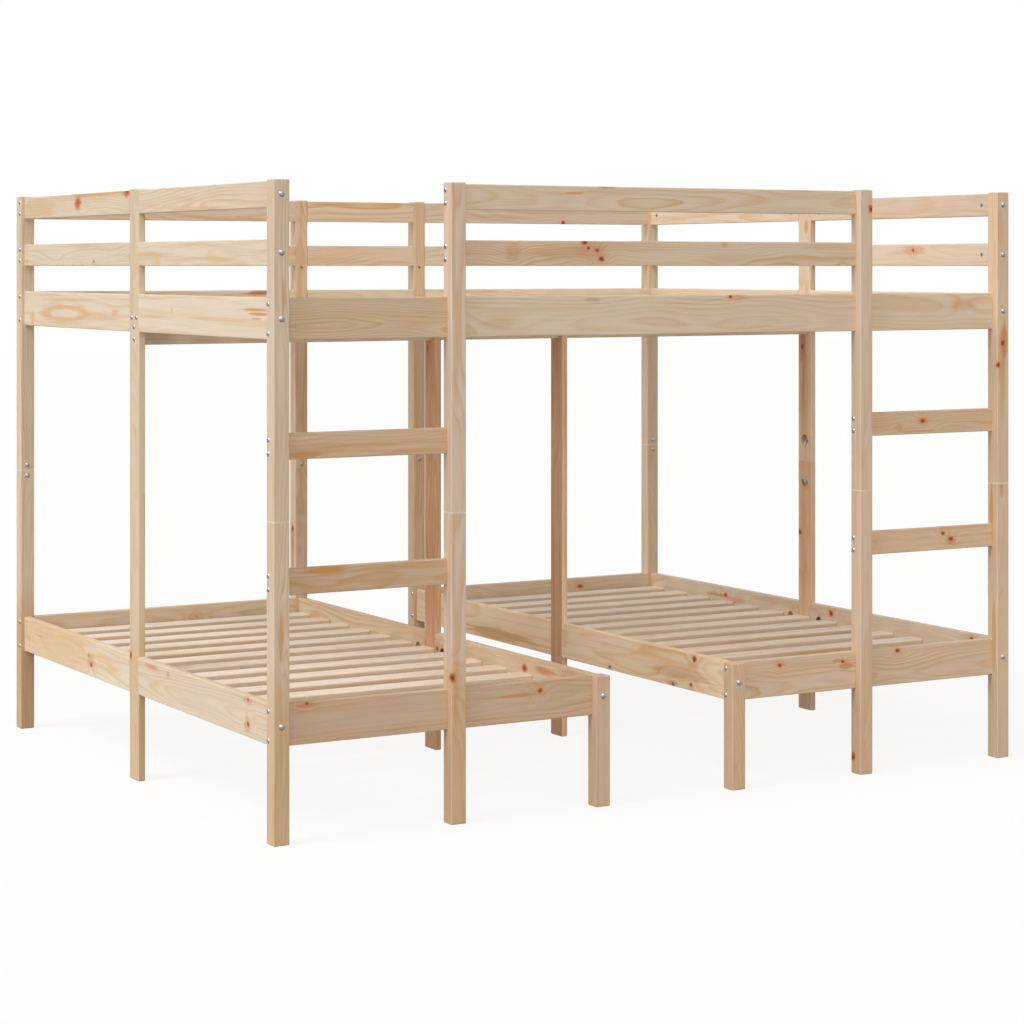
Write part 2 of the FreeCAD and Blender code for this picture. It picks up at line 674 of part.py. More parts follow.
SIDE_LINES = []     # piece name without its end, posts at the front and back, middle post, inner side
for side, inner_is_right in (("left", True), ("right", False)):
    front_corner, back_corner = "post_front_" + side, "post_back_" + side
    SIDE_LINES.append(("lower_outer_rails_" + side, front_corner + "_lower", back_corner + "_lower",
                       "side_post_%s_lower" % side, inner_is_right))
    SIDE_LINES.append(("lower_aisle_rails_" + side, "aisle_leg_" + side, "post_back_inner_%s_lower" % side,
                       "aisle_post_" + side, not inner_is_right))
    for line in ("deck_side_rail_" + side, "side_guard_%s_mid" % side, "side_guard_%s_top" % side):
        SIDE_LINES.append((line, front_corner + "_upper", back_corner + "_upper",
                           "side_post_%s_upper" % side, inner_is_right))
for line, front_post, back_post, middle_post, inner_is_right in SIDE_LINES:
    bolt_side_board(line + "_front", front_post, True, inner_is_right)
    bolt_side_board(line + "_back", back_post, False, inner_is_right)
    rod_middle_post(line + "_front", line + "_back", middle_post, inner_is_right)


# Screws along X: through a square post into the end of a front or back board
def screw_board_end(name, post_name, post_x, from_left):
    into = X if from_left else -X
    head_x = post_x if from_left else total(post_x, post)
    end_x = total(post_x, post) if from_left else post_x
    y = middle_of(name, "y")
    low, high = places[name][2], far_of(name, "z")
    for z in (total(low, "Sizes.screw_inset"), less(high, "Sizes.screw_inset")):
        bore([post_name], (head_x, y, z), into, screw_bore, post)
        bore([name], (end_x, y, z), into, "Sizes.screw_diameter", "Sizes.screw_bite")
        fit("frame_screws", "screw", (head_x, y, z), into, Z)


# Rods along X: through a square post into the boards on both sides of it. Their nuts are pressed
# in from the boards' back faces.
def rod_square_post(left_name, right_name, post_name, post_x):
    y, z = middle_of(left_name, "y"), middle_of(left_name, "z")
    start = (less(post_x, rod_past_post), y, z)
    bore([left_name], start, X, bolt_bore, rod_past_post)
    bore([post_name], (post_x, y, z), X, bolt_bore, post)
    bore([right_name], (total(post_x, post), y, z), X, bolt_bore, rod_past_post)
    fit("joint_rods", "post_rod", start, X, Z)
    for name, x in ((left_name, less(post_x, "Sizes.nut_setback")),
                    (right_name, total(post_x, post, "Sizes.nut_setback"))):
        fit_nut(name, (x, far_of(name, "y"), z), -Y, X)


screw_board_end("deck_front_rail_left", "post_front_left_upper", corner_left_x, True)
screw_board_end("deck_front_rail_right", "post_front_right_upper", corner_right_x, False)
for side, corner_x, ladder_x in (("left", corner_left_x, ladder_left_x),
                                 ("right", corner_right_x, ladder_right_x)):
    from_left = side == "left"
    for end in ("front", "back"):
        screw_board_end("lower_%s_rail_%s" % (end, side), "post_%s_%s_lower" % (end, side),
                        corner_x, from_left)
    inner_x = inner_left_x if from_left else inner_right_x
    screw_board_end("lower_front_rail_" + side, "aisle_leg_" + side, inner_x, not from_left)
    screw_board_end("lower_back_rail_" + side, "post_back_inner_%s_lower" % side, inner_x, not from_left)
    for level, half_name in (("low", "lower"), ("high", "upper")):
        rung = "rung_%s_%s" % (side, level)
        screw_board_end(rung, "post_front_%s_%s" % (side, half_name), corner_x, from_left)
        screw_board_end(rung, "ladder_post_%s_%s" % (side, half_name), ladder_x, not from_left)
    for level, z in GUARDS:
        screw_board_end("front_guard_" + level, "ladder_post_%s_upper" % side, ladder_x, from_left)
        screw_board_end("back_guard_%s_%s" % (side, level), "post_back_%s_upper" % side, corner_x, from_left)
    screw_board_end("deck_back_rail_" + side, "post_back_%s_upper" % side, corner_x, from_left)
    left_bay, right_bay = (side, "centre") if from_left else ("centre", side)
    rod_square_post("deck_front_rail_" + left_bay, "deck_front_rail_" + right_bay,
                    "ladder_post_%s_upper" % side, ladder_x)
    rod_square_post("deck_back_rail_" + left_bay, "deck_back_rail_" + right_bay,
                    "post_back_inner_%s_upper" % side, inner_x)
    for level, z in GUARDS:
        rod_square_post("back_guard_%s_%s" % (left_bay, level), "back_guard_%s_%s" % (right_bay, level),
                        "post_back_inner_%s_upper" % side, inner_x)
    wall_hole = (total(inner_x, half(post)), post_back_y, less(mid_guard_z, "Sizes.wall_hole_drop"))
    bore(["post_back_inner_%s_upper" % side], wall_hole, Y, "Sizes.wall_hole_diameter", post)

# The beam's web and cap, screwed through the middle posts of the two sides
for side, x, into in (("left", side_left_x, X), ("right", total(side_right_x, board), -X)):
    end_x = total(x, board) if side == "left" else less(x, board)
    heads = [("beam_web", nothing, z)
             for z in (total(web_z, "Sizes.screw_inset"), less(cap_z, "Sizes.screw_inset"))]
    heads += [("beam_cap", y, total(cap_z, half(board)))
              for y in (total(middle_y, "Sizes.screw_inset"), less(half(slim), "Sizes.screw_inset"))]
    for name, y, z in heads:
        bore(["side_post_%s_upper" % side], (x, y, z), into, screw_bore, board)
        bore([name], (end_x, y, z), into, "Sizes.screw_diameter", "Sizes.screw_bite")
        fit("frame_screws", "side_screw", (x, y, z), into, Z)


# Countersunk screws: ledgers to their rails, and the lapped front rails to the ladder posts
def small_screw(first, others, start, into):
    bore([first] + others, start, into, "Sizes.small_screw_diameter", "Sizes.small_screw_length")
    fit("ledger_screws", "small_screw", start, into, Z)


def sink_head(name, start, into):
    """The conical seat that lets a small screw's head lie flush."""
    body = pieces[name]
    seat = body.newObject("PartDesign::SubtractiveCone", name + "_seat")
    seat.setExpression("Radius1", half("Sizes.small_screw_head_diameter"))
    seat.setExpression("Radius2", half("Sizes.small_screw_diameter"))
    seat.setExpression("Height", half(less("Sizes.small_screw_head_diameter", "Sizes.small_screw_diameter")))
    seat.Placement = FreeCAD.Placement(FreeCAD.Vector(), turned(into, Z))
    put(seat, [less(at, corner) for at, corner in zip(start, places[name])])


def meets(name, axis, at):
    """Whether a small screw at a place along an axis would touch a piece."""
    box = pieces[name].Shape.BoundBox
    low, high = {"x": (box.XMin, box.XMax), "y": (box.YMin, box.YMax)}[axis]
    reach = cell("small_screw_diameter") / 2
    return low - reach < at < high + reach


doc.recompute()
for name, corner, length, into, backing, axis in LEDGERS:
    screws_along = int(cell("ledger_screws_lower" if axis == "y" else "ledger_screws_deck"))
    step = "(%s / %d)" % (less(length, twice("Sizes.small_screw_end_margin")), screws_along - 1)
    z = total(corner[2], half("Sizes.ledger_height"))
    for number in range(screws_along):
        along = total(corner["xy".index(axis)], "Sizes.small_screw_end_margin", "%d * %s" % (number, step))
        behind = [piece for piece in backing if meets(piece, axis, sheet.evalExpression(along))]
        far_side = into.x < -0.5 or into.y < -0.5
        across = corner[0] if axis == "y" else corner[1]
        face = total(across, "Sizes.ledger_thick") if far_side else across
        start = (face, along, z) if axis == "y" else (along, face, z)
        small_screw(name, behind, start, into)
        sink_head(name, start, into)
for side, x in (("left", ladder_left_x), ("right", ladder_right_x)):
    name = "lower_front_rail_" + side
    for z in (total("Sizes.lower_rail_z", "Sizes.screw_inset"), less(lower_top_z, "Sizes.screw_inset")):
        start = (total(x, half(post)), total(front_board_y, board), z)
        small_screw(name, ["ladder_post_%s_lower" % side], start, -Y)
        sink_head(name, start, -Y)

# Seams of the square posts: a steel pin in both halves, locked by a screw in each
for name, (x, y) in SQUARE_POSTS.items():
    middle = (total(x, half(post)), total(y, half(post)))
    start = (*middle, less("Sizes.seam_z", half("Sizes.seam_pin_length")))
    halves = [name + "_lower", name + "_upper"]
    bore(halves, start, Z, "Sizes.seam_pin_diameter", "Sizes.seam_pin_length")
    fit("seam_pins", "seam_pin", start, Z, Y)
    at_front = y == post_front_y
    face_y = total(y, post) if at_front else y
    into = -Y if at_front else Y
    for half_name, z in ((halves[0], less("Sizes.seam_z", "Sizes.seam_screw_offset")),
                         (halves[1], total("Sizes.seam_z", "Sizes.seam_screw_offset"))):
        bore([half_name], (middle[0], face_y, z), into, "Sizes.screw_diameter", "Sizes.seam_screw_length")
        fit("seam_screws", "seam_screw", (middle[0], face_y, z), into, Z)
pin = MASTERS["seam_pin"]
for number, sign in enumerate(("-", "+"), start=1):
    hole = pin.newObject("PartDesign::SubtractiveCylinder", "seam_pin_hole_%d" % number)
    hole.setExpression("Radius", half("Sizes.screw_diameter"))
    hole.setExpression("Height", total("Sizes.seam_pin_diameter", twice("Sizes.cut_overrun")))
    hole.Placement = FreeCAD.Placement(FreeCAD.Vector(), turned(Y, Z))
    put(hole, (nothing, minus(total(half("Sizes.seam_pin_diameter"), "Sizes.cut_overrun")),
               "(%s %s Sizes.seam_screw_offset)" % (half("Sizes.seam_pin_length"), sign)))

# Seams of the two side posts: a threaded rod between two round pockets, with a nut and a
# crescent washer in each pocket
pocket_depth = total("Sizes.seam_nut_width", twice("Sizes.seam_nut_play"))
side_seam_parts = []
for side, x, inner_is_right in (("left", side_left_x, True), ("right", side_right_x, False)):
    face_x = total(x, board) if inner_is_right else x
    into = -X if inner_is_right else X
    pocket_x = less(face_x, pocket_depth) if inner_is_right else face_x
    rod_x = total(pocket_x, half(pocket_depth))
    for half_name, sign in (("side_post_%s_lower" % side, "-"), ("side_post_%s_upper" % side, "+")):
        hole_z = "(Sizes.seam_z %s Sizes.seam_hole_offset)" % sign
        bore([half_name], (face_x, nothing, hole_z), into, "Sizes.seam_hole_diameter", pocket_depth)
        rod_start = hole_z if sign == "-" else "Sizes.seam_z"
        bore([half_name], (rod_x, nothing, rod_start), Z,
             total("Sizes.seam_rod_diameter", twice("Sizes.bolt_play")), "Sizes.seam_hole_offset")
        # the washer fills the side of the pocket that is nearest to the seam
        disc = doc.addObject("Part::Cylinder", "washer_disc_" + half_name)
        disc.setExpression("Radius", less(half("Sizes.seam_hole_diameter"), "Sizes.bolt_play"))
        disc.setExpression("Height", less(pocket_depth, "Sizes.joint_play"))
        disc.Placement = FreeCAD.Placement(FreeCAD.Vector(), turned(X, Z))
        disc_x = total(pocket_x, "Sizes.joint_play") if inner_is_right else pocket_x
        put(disc, (disc_x, nothing, hole_z))
        slab = doc.addObject("Part::Box", "washer_slab_" + half_name)
        bind(slab, ("Length", "Width", "Height"),
             (pocket_depth, "Sizes.seam_hole_diameter", "Sizes.seam_washer_height"))
        edge = half("Sizes.seam_hole_diameter")
        slab_z = less(total(hole_z, edge), "Sizes.seam_washer_height") if sign == "-" else less(hole_z, edge)
        put(slab, (pocket_x, minus(edge), slab_z))
        crescent = doc.addObject("Part::Common", "washer_blank_" + half_name)
        crescent.Base, crescent.Tool = disc, slab
        hole = doc.addObject("Part::Cylinder", "washer_hole_" + half_name)
        hole.setExpression("Radius", half("Sizes.seam_rod_diameter"))
        hole.setExpression("Height", "Sizes.seam_hole_diameter")
        put(hole, (rod_x, nothing, less(hole_z, edge)))
        washer = doc.addObject("Part::Cut", "washer_" + half_name)
        washer.Base, washer.Tool = crescent, hole
        nut = doc.addObject("Part::Prism", "seam_nut_blank_" + half_name)
        nut.Polygon = HEX_SIDES
        nut.setExpression("Circumradius", "(Sizes.seam_nut_width / sqrt(3))")
        nut.setExpression("Height", "Sizes.seam_nut_height")
        nut.Placement = FreeCAD.Placement(FreeCAD.Vector(), FreeCAD.Rotation(Z, 180 / HEX_SIDES))
        under, over = less(slab_z, "Sizes.seam_nut_height"), total(slab_z, "Sizes.seam_washer_height")
        nut_z = under if sign == "-" else over
        put(nut, (rod_x, nothing, nut_z))
        threaded = doc.addObject("Part::Cut", "seam_nut_" + half_name)
        threaded.Base, threaded.Tool = nut, hole
        side_seam_parts += [washer, threaded]
    rod = doc.addObject("Part::Cylinder", "side_seam_rod_" + side)
    rod.setExpression("Radius", half("Sizes.seam_rod_diameter"))
    rod.setExpression("Height", twice("Sizes.seam_hole_offset"))
    put(rod, (rod_x, nothing, less("Sizes.seam_z", "Sizes.seam_hole_offset")))
    side_seam_parts.append(rod)

make_group("side_rail_bolts", fitted["side_rail_bolts"])
make_group("barrel_nuts", fitted["barrel_nuts"])
make_group("joint_rods", fitted["joint_rods"])
make_group("frame_screws", fitted["frame_screws"])
make_group("ledger_screws", fitted["ledger_screws"])
make_group("seam_pins", fitted["seam_pins"] + side_seam_parts)
make_group("seam_screws", fitted["seam_screws"])
doc.recompute()

# Nothing is written unless every object of the document is sound
for thing in doc.Objects:
    if "Invalid" in thing.State or "Error" in thing.State:
        raise RuntimeError("failed: %s %s" % (thing.Label, thing.State))
for node in nodes:
    if node.Shape.isNull() or not node.Shape.isValid():
        raise RuntimeError("bad shape: " + node.Label)

os.makedirs("parts", exist_ok=True)
for node in nodes:
    node.Shape.exportStep("parts/%s.step" % node.Label)
print("nodes %d, solids %d" % (len(nodes), sum(len(node.Shape.Solids) for node in nodes)))
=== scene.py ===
"""Finish, light and camera for the triple bunk bed. Metres, Z up, the front along X."""

import json
import math

import bpy
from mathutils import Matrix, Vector


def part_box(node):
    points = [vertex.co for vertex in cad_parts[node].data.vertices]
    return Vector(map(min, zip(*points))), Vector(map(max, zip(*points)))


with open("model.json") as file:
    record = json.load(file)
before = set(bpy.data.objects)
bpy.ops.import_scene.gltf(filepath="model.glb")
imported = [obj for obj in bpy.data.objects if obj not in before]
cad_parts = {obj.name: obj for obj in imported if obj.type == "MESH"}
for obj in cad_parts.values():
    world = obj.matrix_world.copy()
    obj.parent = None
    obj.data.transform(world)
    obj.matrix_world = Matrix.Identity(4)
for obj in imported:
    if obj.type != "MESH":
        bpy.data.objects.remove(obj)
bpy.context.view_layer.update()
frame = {"nodes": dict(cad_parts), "record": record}
NODES = frame["nodes"]

# Timber sizes that the grain follows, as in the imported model
SLIM_WIDTH = 0.058
SLAT_WIDTH = 0.056
LOWER_SLATS, DECK_SLATS = 13, 17        # in a row
INNER_POST_X = 0.191
LOWER_BED_X = 0.6           # the middle of the right lower bed
SEAM_HEIGHT = 0.7           # where the halves of the posts meet

# Camera of the photograph
CAMERA_PLACE = (-3.3532, -5.9194, 1.2538)
CAMERA_YAW = 29.865         # degrees to the right of +Y
CAMERA_LENS = 90.69         # millimetres, as is the sensor's width
SENSOR_WIDTH = 36
PHOTO_SIZE = 1024           # pixels, as is the row of the horizon
HORIZON_ROW = 266


class Tree:
    """Short ways to add and link shader nodes."""

    def __init__(self, tree):
        self.nodes = tree.nodes
        self.links = tree.links

    def link(self, value, socket):
        """A number, colour or vector goes on the socket, and another socket is linked to it."""
        if isinstance(value, bpy.types.NodeSocket):
            self.links.new(value, socket)
        else:
            socket.default_value = value

    def add(self, kind, inputs=(), **settings):
        """A new node. Its inputs go by their order, or by name or number from a dictionary."""
        made = self.nodes.new("ShaderNode" + kind)
        for name, value in settings.items():
            setattr(made, name, value)
        pairs = inputs.items() if isinstance(inputs, dict) else enumerate(inputs)
        for key, value in pairs:
            self.link(value, made.inputs[key])
        return made

    def node(self, kind, inputs=(), output=0, **settings):
        """One output of a new node."""
        return self.add(kind, inputs, **settings).outputs[output]

    def math(self, operation, *values, clamp=False):
        return self.node("Math", values, operation=operation, use_clamp=clamp)

    def product(self, first, *others):
        for other in others:
            first = self.math("MULTIPLY", first, other)
        return first

    def vector(self, operation, *values, output=0):
        return self.node("VectorMath", values, output=output, operation=operation)

    def length(self, vector):
        return self.vector("LENGTH", vector, output="Value")

    def combine(self, x, y, z):
        return self.node("CombineXYZ", (x, y, z))

    def separate(self, vector):
        return self.add("SeparateXYZ", (vector,)).outputs

    def scale(self, vector, factor):
        """A vector or colour times one number."""
        return self.vector("MULTIPLY", vector, self.combine(factor, factor, factor))

    def span(self, value, low, high, to_low=0.0, to_high=1.0, smooth=False):
        """A value that runs from to_low at low to to_high at high, and stays level beyond them."""
        kind = "SMOOTHSTEP" if smooth else "LINEAR"
        return self.node("MapRange", (value, low, high, to_low, to_high), interpolation_type=kind)

    def between(self, share, first, last):
        """The first value where the share is 0, the last where it is 1."""
        return self.span(share, 0.0, 1.0, first, last)

    def bell(self, distance, fall):
        """1 at no distance, and less the further away, as in a bell curve."""
        return self.math("EXPONENT", self.product(distance, distance, -fall))

    def noise(self, place, scale, detail=2.0, rough=0.5, output=0):
        inputs = {"Vector": place, "Scale": scale, "Detail": detail, "Roughness": rough}
        return self.node("TexNoise", inputs, output=output)

    def layer(self, place, squeeze, *noise_sizes):
        """Noise that is drawn out or squeezed along each axis."""
        return self.noise(self.vector("MULTIPLY", place, squeeze), *noise_sizes)

    def wobble(self, place, scale):
        """A soft random vector round zero."""
        colour = self.noise(place, scale, detail=1.0, output="Color")
        return self.vector("SUBTRACT", colour, (0.5, 0.5, 0.5))

    def mix(self, factor, first, second):
        """The first colour where the factor is 0, the second where it is 1."""
        # the node has sockets of one name for numbers, vectors and colours, so theirs go by their numbers
        return self.node("Mix", {0: factor, 6: first, 7: second}, output=2, data_type="RGBA")

    def ramp(self, factor, stops):
        """A level that follows the stops, each a place from 0 to 1 and its level."""
        made = self.add("ValToRGB", (factor,))
        elements = made.color_ramp.elements
        while len(elements) < len(stops):
            elements.new(0.5)
        for element, (place, level) in zip(elements, stops):
            element.position = place
            element.color = (level, level, level, 1)
        return made.outputs[0]

    def facing(self):
        """How far the surface faces along X, Y and Z."""
        return self.separate(self.node("NewGeometry", output="Normal"))


def new_material(name):
    """A material, short ways to add to its nodes, and the inputs of its shader."""
    material = bpy.data.materials.new(name)
    material.use_nodes = True
    return material, Tree(material.node_tree), material.node_tree.nodes["Principled BSDF"].inputs


# Pine colours, as they render under plain light
CREAM = (0.785, 0.685, 0.54, 1)
BLUSH = (0.755, 0.605, 0.475, 1)
OCHRE = (0.67, 0.415, 0.17, 1)
STREAK = (0.68, 0.46, 0.26, 1)
FINE_LINE = (0.52, 0.31, 0.18, 1)
AMBER = (0.67, 0.28, 0.10, 1)
OCHRE_STAIN = (0.57, 0.30, 0.10, 1)
ROSE_STAIN = (0.60, 0.25, 0.12, 1)
KNOT_RIM = (0.47, 0.125, 0.042, 1)
KNOT_HEART = (0.21, 0.042, 0.018, 1)
# painted highlight along the seam of a post, where the ends of its halves catch the light
SEAM_HIGHLIGHT = (0.86, 0.75, 0.60, 1)

# Layers of noise: how much each is squeezed along, across and through the board, then its scale, detail and
# roughness. A small squeeze draws the layer out. Over its range the layer fades in.
PITH_SQUEEZE, PITH_SCALE = (1.0, 0.15, 0.15), 1.9
RIPPLES = ((0.14, 1.0, 1.0), 24.0, 2.0)
RING_AREAS, RING_AREAS_RANGE = ((0.5, 3.0, 3.0), 4.0, 1.0), (0.35, 0.65)
STREAKS, STREAKS_RANGE = ((0.045, 1.0, 1.0), 62.0, 2.0), (0.50, 0.70)
FINE_LINES, FINE_LINES_RANGE = ((0.02, 1.0, 1.0), 210.0, 1.0), (0.62, 0.76)
FIBRES, FIBRES_RANGE = ((0.016, 1.0, 1.0), 900.0, 3.0, 0.6), (0.3, 0.7)
CLOUDS, CLOUDS_RANGE = ((0.35, 2.0, 2.0), 3.0, 2.0), (0.35, 0.7)
SEED_REACH = 40.0           # how far apart the boards' noise lies, at most

# Yearly rings
RING_WIDTH = 0.0052
NARROW_RINGS, WIDE_RINGS = 0.75, 1.5    # of that width, from board to board
PITH_NEAR = 0.028           # from a board's middle to the middle of its log
PITH_FAR = 0.085
PITH_SPREAD = 0.07          # how far to the side that middle may lie
PITH_SLANT = 0.03           # how much it may slant along the board
PITH_WANDER = 0.06          # how far it strays from a straight line
RIPPLE_DEPTH = 0.013        # how far the rings stray from round ones
# How dark a ring is from its inner side to its outer one: the place across it, then the level
RING_LEVELS = ((0.0, 0.35), (0.12, 0.0), (0.45, 0.12), (0.78, 0.75), (0.92, 1.0), (1.0, 0.35))
PALE_YEAR_SHARE = 0.4       # how strong the palest year's ring is
PALE_AREA_SHARE = 0.35      # and the rings in the palest parts of a board

# How strong the other marks of the wood are
WEAK_STREAKS_SHARE, STRONG_STREAKS_SHARE = 0.25, 0.75
FINE_LINE_SHARE = 0.30
BLUSH_SHARE = 0.7
DARK_FIBRE_SHARE, PALE_FIBRE_SHARE = 0.93, 1.05
DARK_BOARD_SHARE, PALE_BOARD_SHARE = 0.93, 1.04
HALO_SHARE, RIM_SHARE, HEART_SHARE = 0.85, 0.8, 0.92

# Knots, with distances in knot radii
RIM_OUTER, RIM_INNER = 1.15, 0.8
HEART_OUTER, HEART_INNER = 0.75, 0.3
HALO_FALL = 0.85
NO_KNOT = 1000.0
STRAY_SPACING = (4.2, 7.5, 7.5)         # how many places for stray knots per metre, along and across
STRAY_SIZE = 0.06           # in units of that spacing
SMALL_STRAY, LARGE_STRAY = 0.4, 1.3     # of that size
STRAY_WOBBLE_SCALE, STRAY_WOBBLE = 60.0, 0.03
STRAY_FALL, STRAY_SWELL = 0.28, 0.014   # how fast the rings straighten beside one, and how far they bend

# Surface
EARLY_ROUGHNESS, LATE_ROUGHNESS = 0.62, 0.48
KNOT_SMOOTHNESS = 0.12
FIBRE_HEIGHT, LATE_HEIGHT, KNOT_HOLLOW = 0.6, 0.5, 0.4
WOOD_BUMP = {"Strength": 0.12, "Distance": 0.0004}
WOOD_SPECULAR = 0.28


def ring_radius(tree, place, shifted, lots):
    """How far each point is from the pith, which runs beyond one wide face and wanders along the board."""
    along, across, deep = tree.separate(place)
    side = tree.math("SIGN", tree.math("SUBTRACT", lots[2], 0.5))
    pith_across = tree.product(tree.math("SUBTRACT", lots[0], 0.5), PITH_SPREAD)
    pith_deep = tree.product(side, tree.between(lots[1], PITH_NEAR, PITH_FAR))
    wander = tree.wobble(tree.vector("MULTIPLY", shifted, PITH_SQUEEZE), PITH_SCALE)
    _, wander_across, wander_deep = tree.separate(wander)
    slant = tree.product(tree.math("SUBTRACT", lots[0], lots[2]), PITH_SLANT)
    across = tree.math("SUBTRACT", across, pith_across)
    across = tree.math("ADD", across, tree.product(wander_across, PITH_WANDER))
    deep = tree.math("SUBTRACT", deep, pith_deep)
    deep = tree.math("ADD", deep, tree.product(wander_deep, PITH_WANDER))
    deep = tree.math("ADD", deep, tree.product(along, slant))
    radius = tree.length(tree.combine(0.0, across, deep))
    ripple = tree.math("SUBTRACT", tree.layer(shifted, *RIPPLES), 0.5)
    return tree.math("ADD", radius, tree.product(ripple, RIPPLE_DEPTH))


def stray_distance(tree, shifted, stray):
    """How far each point is from the nearest stray knot, in knot radii. Few of them are kept."""
    place = tree.vector("MULTIPLY", shifted, STRAY_SPACING)
    wobble = tree.scale(tree.wobble(shifted, STRAY_WOBBLE_SCALE), STRAY_WOBBLE)
    cell = tree.add("TexVoronoi", {"Vector": tree.vector("ADD", place, wobble), "Scale": 1.0}).outputs
    lot_size, lot_kept, _ = tree.separate(cell["Color"])
    dropped = tree.math("GREATER_THAN", lot_kept, stray)
    size = tree.product(tree.between(lot_size, SMALL_STRAY, LARGE_STRAY), STRAY_SIZE)
    near = tree.math("DIVIDE", cell["Distance"], size)
    return tree.math("ADD", near, tree.product(dropped, NO_KNOT))


def late_wood(tree, radius, ring_width, figure, shifted, lots):
    """How much of each point is late wood: pale early wood darkens to a thin late band every year."""
    ring = tree.product(ring_width, tree.between(lots[0], NARROW_RINGS, WIDE_RINGS))
    turns = tree.math("DIVIDE", radius, ring)
    band = tree.ramp(tree.math("FRACT", turns), RING_LEVELS)
    year = tree.combine(tree.math("FLOOR", turns), lots[0], lots[1])
    year_lot = tree.node("TexWhiteNoise", {"Vector": year}, noise_dimensions="3D")
    year_share = tree.between(year_lot, PALE_YEAR_SHARE, 1.0)
    area_share = tree.span(tree.layer(shifted, *RING_AREAS), *RING_AREAS_RANGE, PALE_AREA_SHARE, 1.0)
    return tree.product(tree.product(band, year_share), tree.product(area_share, figure))


def make_pine_group():
    """The wood itself: rings round a pith that lies beside the board, streaks, fibres and knots, and a
    painted highlight at a post's seam.
    """
    group = bpy.data.node_groups.new("pine_wood", "ShaderNodeTree")
    face = group.interface
    for name in ("Place", "Random", "Tone"):
        face.new_socket(name=name, in_out="INPUT", socket_type="NodeSocketVector")
    for name in ("Ring", "Swell", "Near", "Figure", "Blush", "Stray",
                 "Yellow", "Ochre", "Rose", "Red", "Seam"):
        face.new_socket(name=name, in_out="INPUT", socket_type="NodeSocketFloat")
    for name, kind in (("Color", "Color"), ("Roughness", "Float"), ("Height", "Float")):
        face.new_socket(name=name, in_out="OUTPUT", socket_type="NodeSocket" + kind)
    tree = Tree(group)
    given = group.nodes.new("NodeGroupInput").outputs
    result = group.nodes.new("NodeGroupOutput").inputs
    lots = tree.separate(given["Random"])
    shifted = tree.vector("ADD", given["Place"], tree.scale(given["Random"], SEED_REACH))

    # knots, and rings that bend round them
    near = stray_distance(tree, shifted, given["Stray"])
    radius = ring_radius(tree, given["Place"], shifted, lots)
    radius = tree.math("ADD", radius, tree.product(tree.bell(near, STRAY_FALL), STRAY_SWELL))
    radius = tree.math("ADD", radius, given["Swell"])
    late = late_wood(tree, radius, given["Ring"], given["Figure"], shifted, lots)
    near = tree.math("MINIMUM", near, given["Near"])
    rim = tree.span(near, RIM_OUTER, RIM_INNER, smooth=True)
    heart = tree.span(near, HEART_OUTER, HEART_INNER, smooth=True)
    halo = tree.math("EXPONENT", tree.product(near, -HALO_FALL))

    # long warm streaks, fine dark lines and fibres, all drawn out along the grain
    streak = tree.span(tree.layer(shifted, *STREAKS), *STREAKS_RANGE)
    streak = tree.product(streak, tree.between(lots[2], WEAK_STREAKS_SHARE, STRONG_STREAKS_SHARE))
    line = tree.span(tree.layer(shifted, *FINE_LINES), *FINE_LINES_RANGE)
    line = tree.product(line, FINE_LINE_SHARE)
    fibre = tree.layer(shifted, *FIBRES)
    rosy = tree.product(tree.span(tree.layer(shifted, *CLOUDS), *CLOUDS_RANGE), BLUSH_SHARE)
    rosy = tree.math("ADD", rosy, given["Blush"], clamp=True)
    wood = tree.mix(rosy, CREAM, BLUSH)
    wood = tree.mix(streak, wood, STREAK)
    wood = tree.mix(line, wood, FINE_LINE)
    wood = tree.mix(late, wood, OCHRE)
    wood = tree.mix(given["Yellow"], wood, OCHRE)
    shade = tree.span(fibre, *FIBRES_RANGE, DARK_FIBRE_SHARE, PALE_FIBRE_SHARE)
    shade = tree.product(shade, tree.between(lots[1], DARK_BOARD_SHARE, PALE_BOARD_SHARE))
    # the tone carries painted shade on some faces and ends
    wood = tree.vector("MULTIPLY", tree.scale(wood, shade), given["Tone"])

    # stains and knots over it, and a painted highlight along a post's seam
    wood = tree.mix(given["Ochre"], wood, OCHRE_STAIN)
    wood = tree.mix(given["Rose"], wood, ROSE_STAIN)
    wood = tree.mix(given["Red"], wood, KNOT_RIM)
    wood = tree.mix(tree.math("MULTIPLY", halo, HALO_SHARE, clamp=True), wood, AMBER)
    wood = tree.mix(tree.product(rim, RIM_SHARE), wood, KNOT_RIM)
    wood = tree.mix(tree.product(heart, HEART_SHARE), wood, KNOT_HEART)
    wood = tree.mix(given["Seam"], wood, SEAM_HIGHLIGHT)
    tree.link(wood, result["Color"])
    roughness = tree.between(late, EARLY_ROUGHNESS, LATE_ROUGHNESS)
    tree.link(tree.math("SUBTRACT", roughness, tree.product(rim, KNOT_SMOOTHNESS)), result["Roughness"])
    height = tree.math("ADD", tree.product(fibre, FIBRE_HEIGHT), tree.product(late, LATE_HEIGHT))
    tree.link(tree.math("SUBTRACT", height, tree.product(rim, KNOT_HOLLOW)), result["Height"])
    return group


PINE = make_pine_group()

# Marks that the photograph shows, in metres, at places worked out with its camera. A place that lies
# outside its board is brought to the board's face: FRONT to a front face, LEFT to a left one.
FRONT, LEFT = -0.9, -1.1
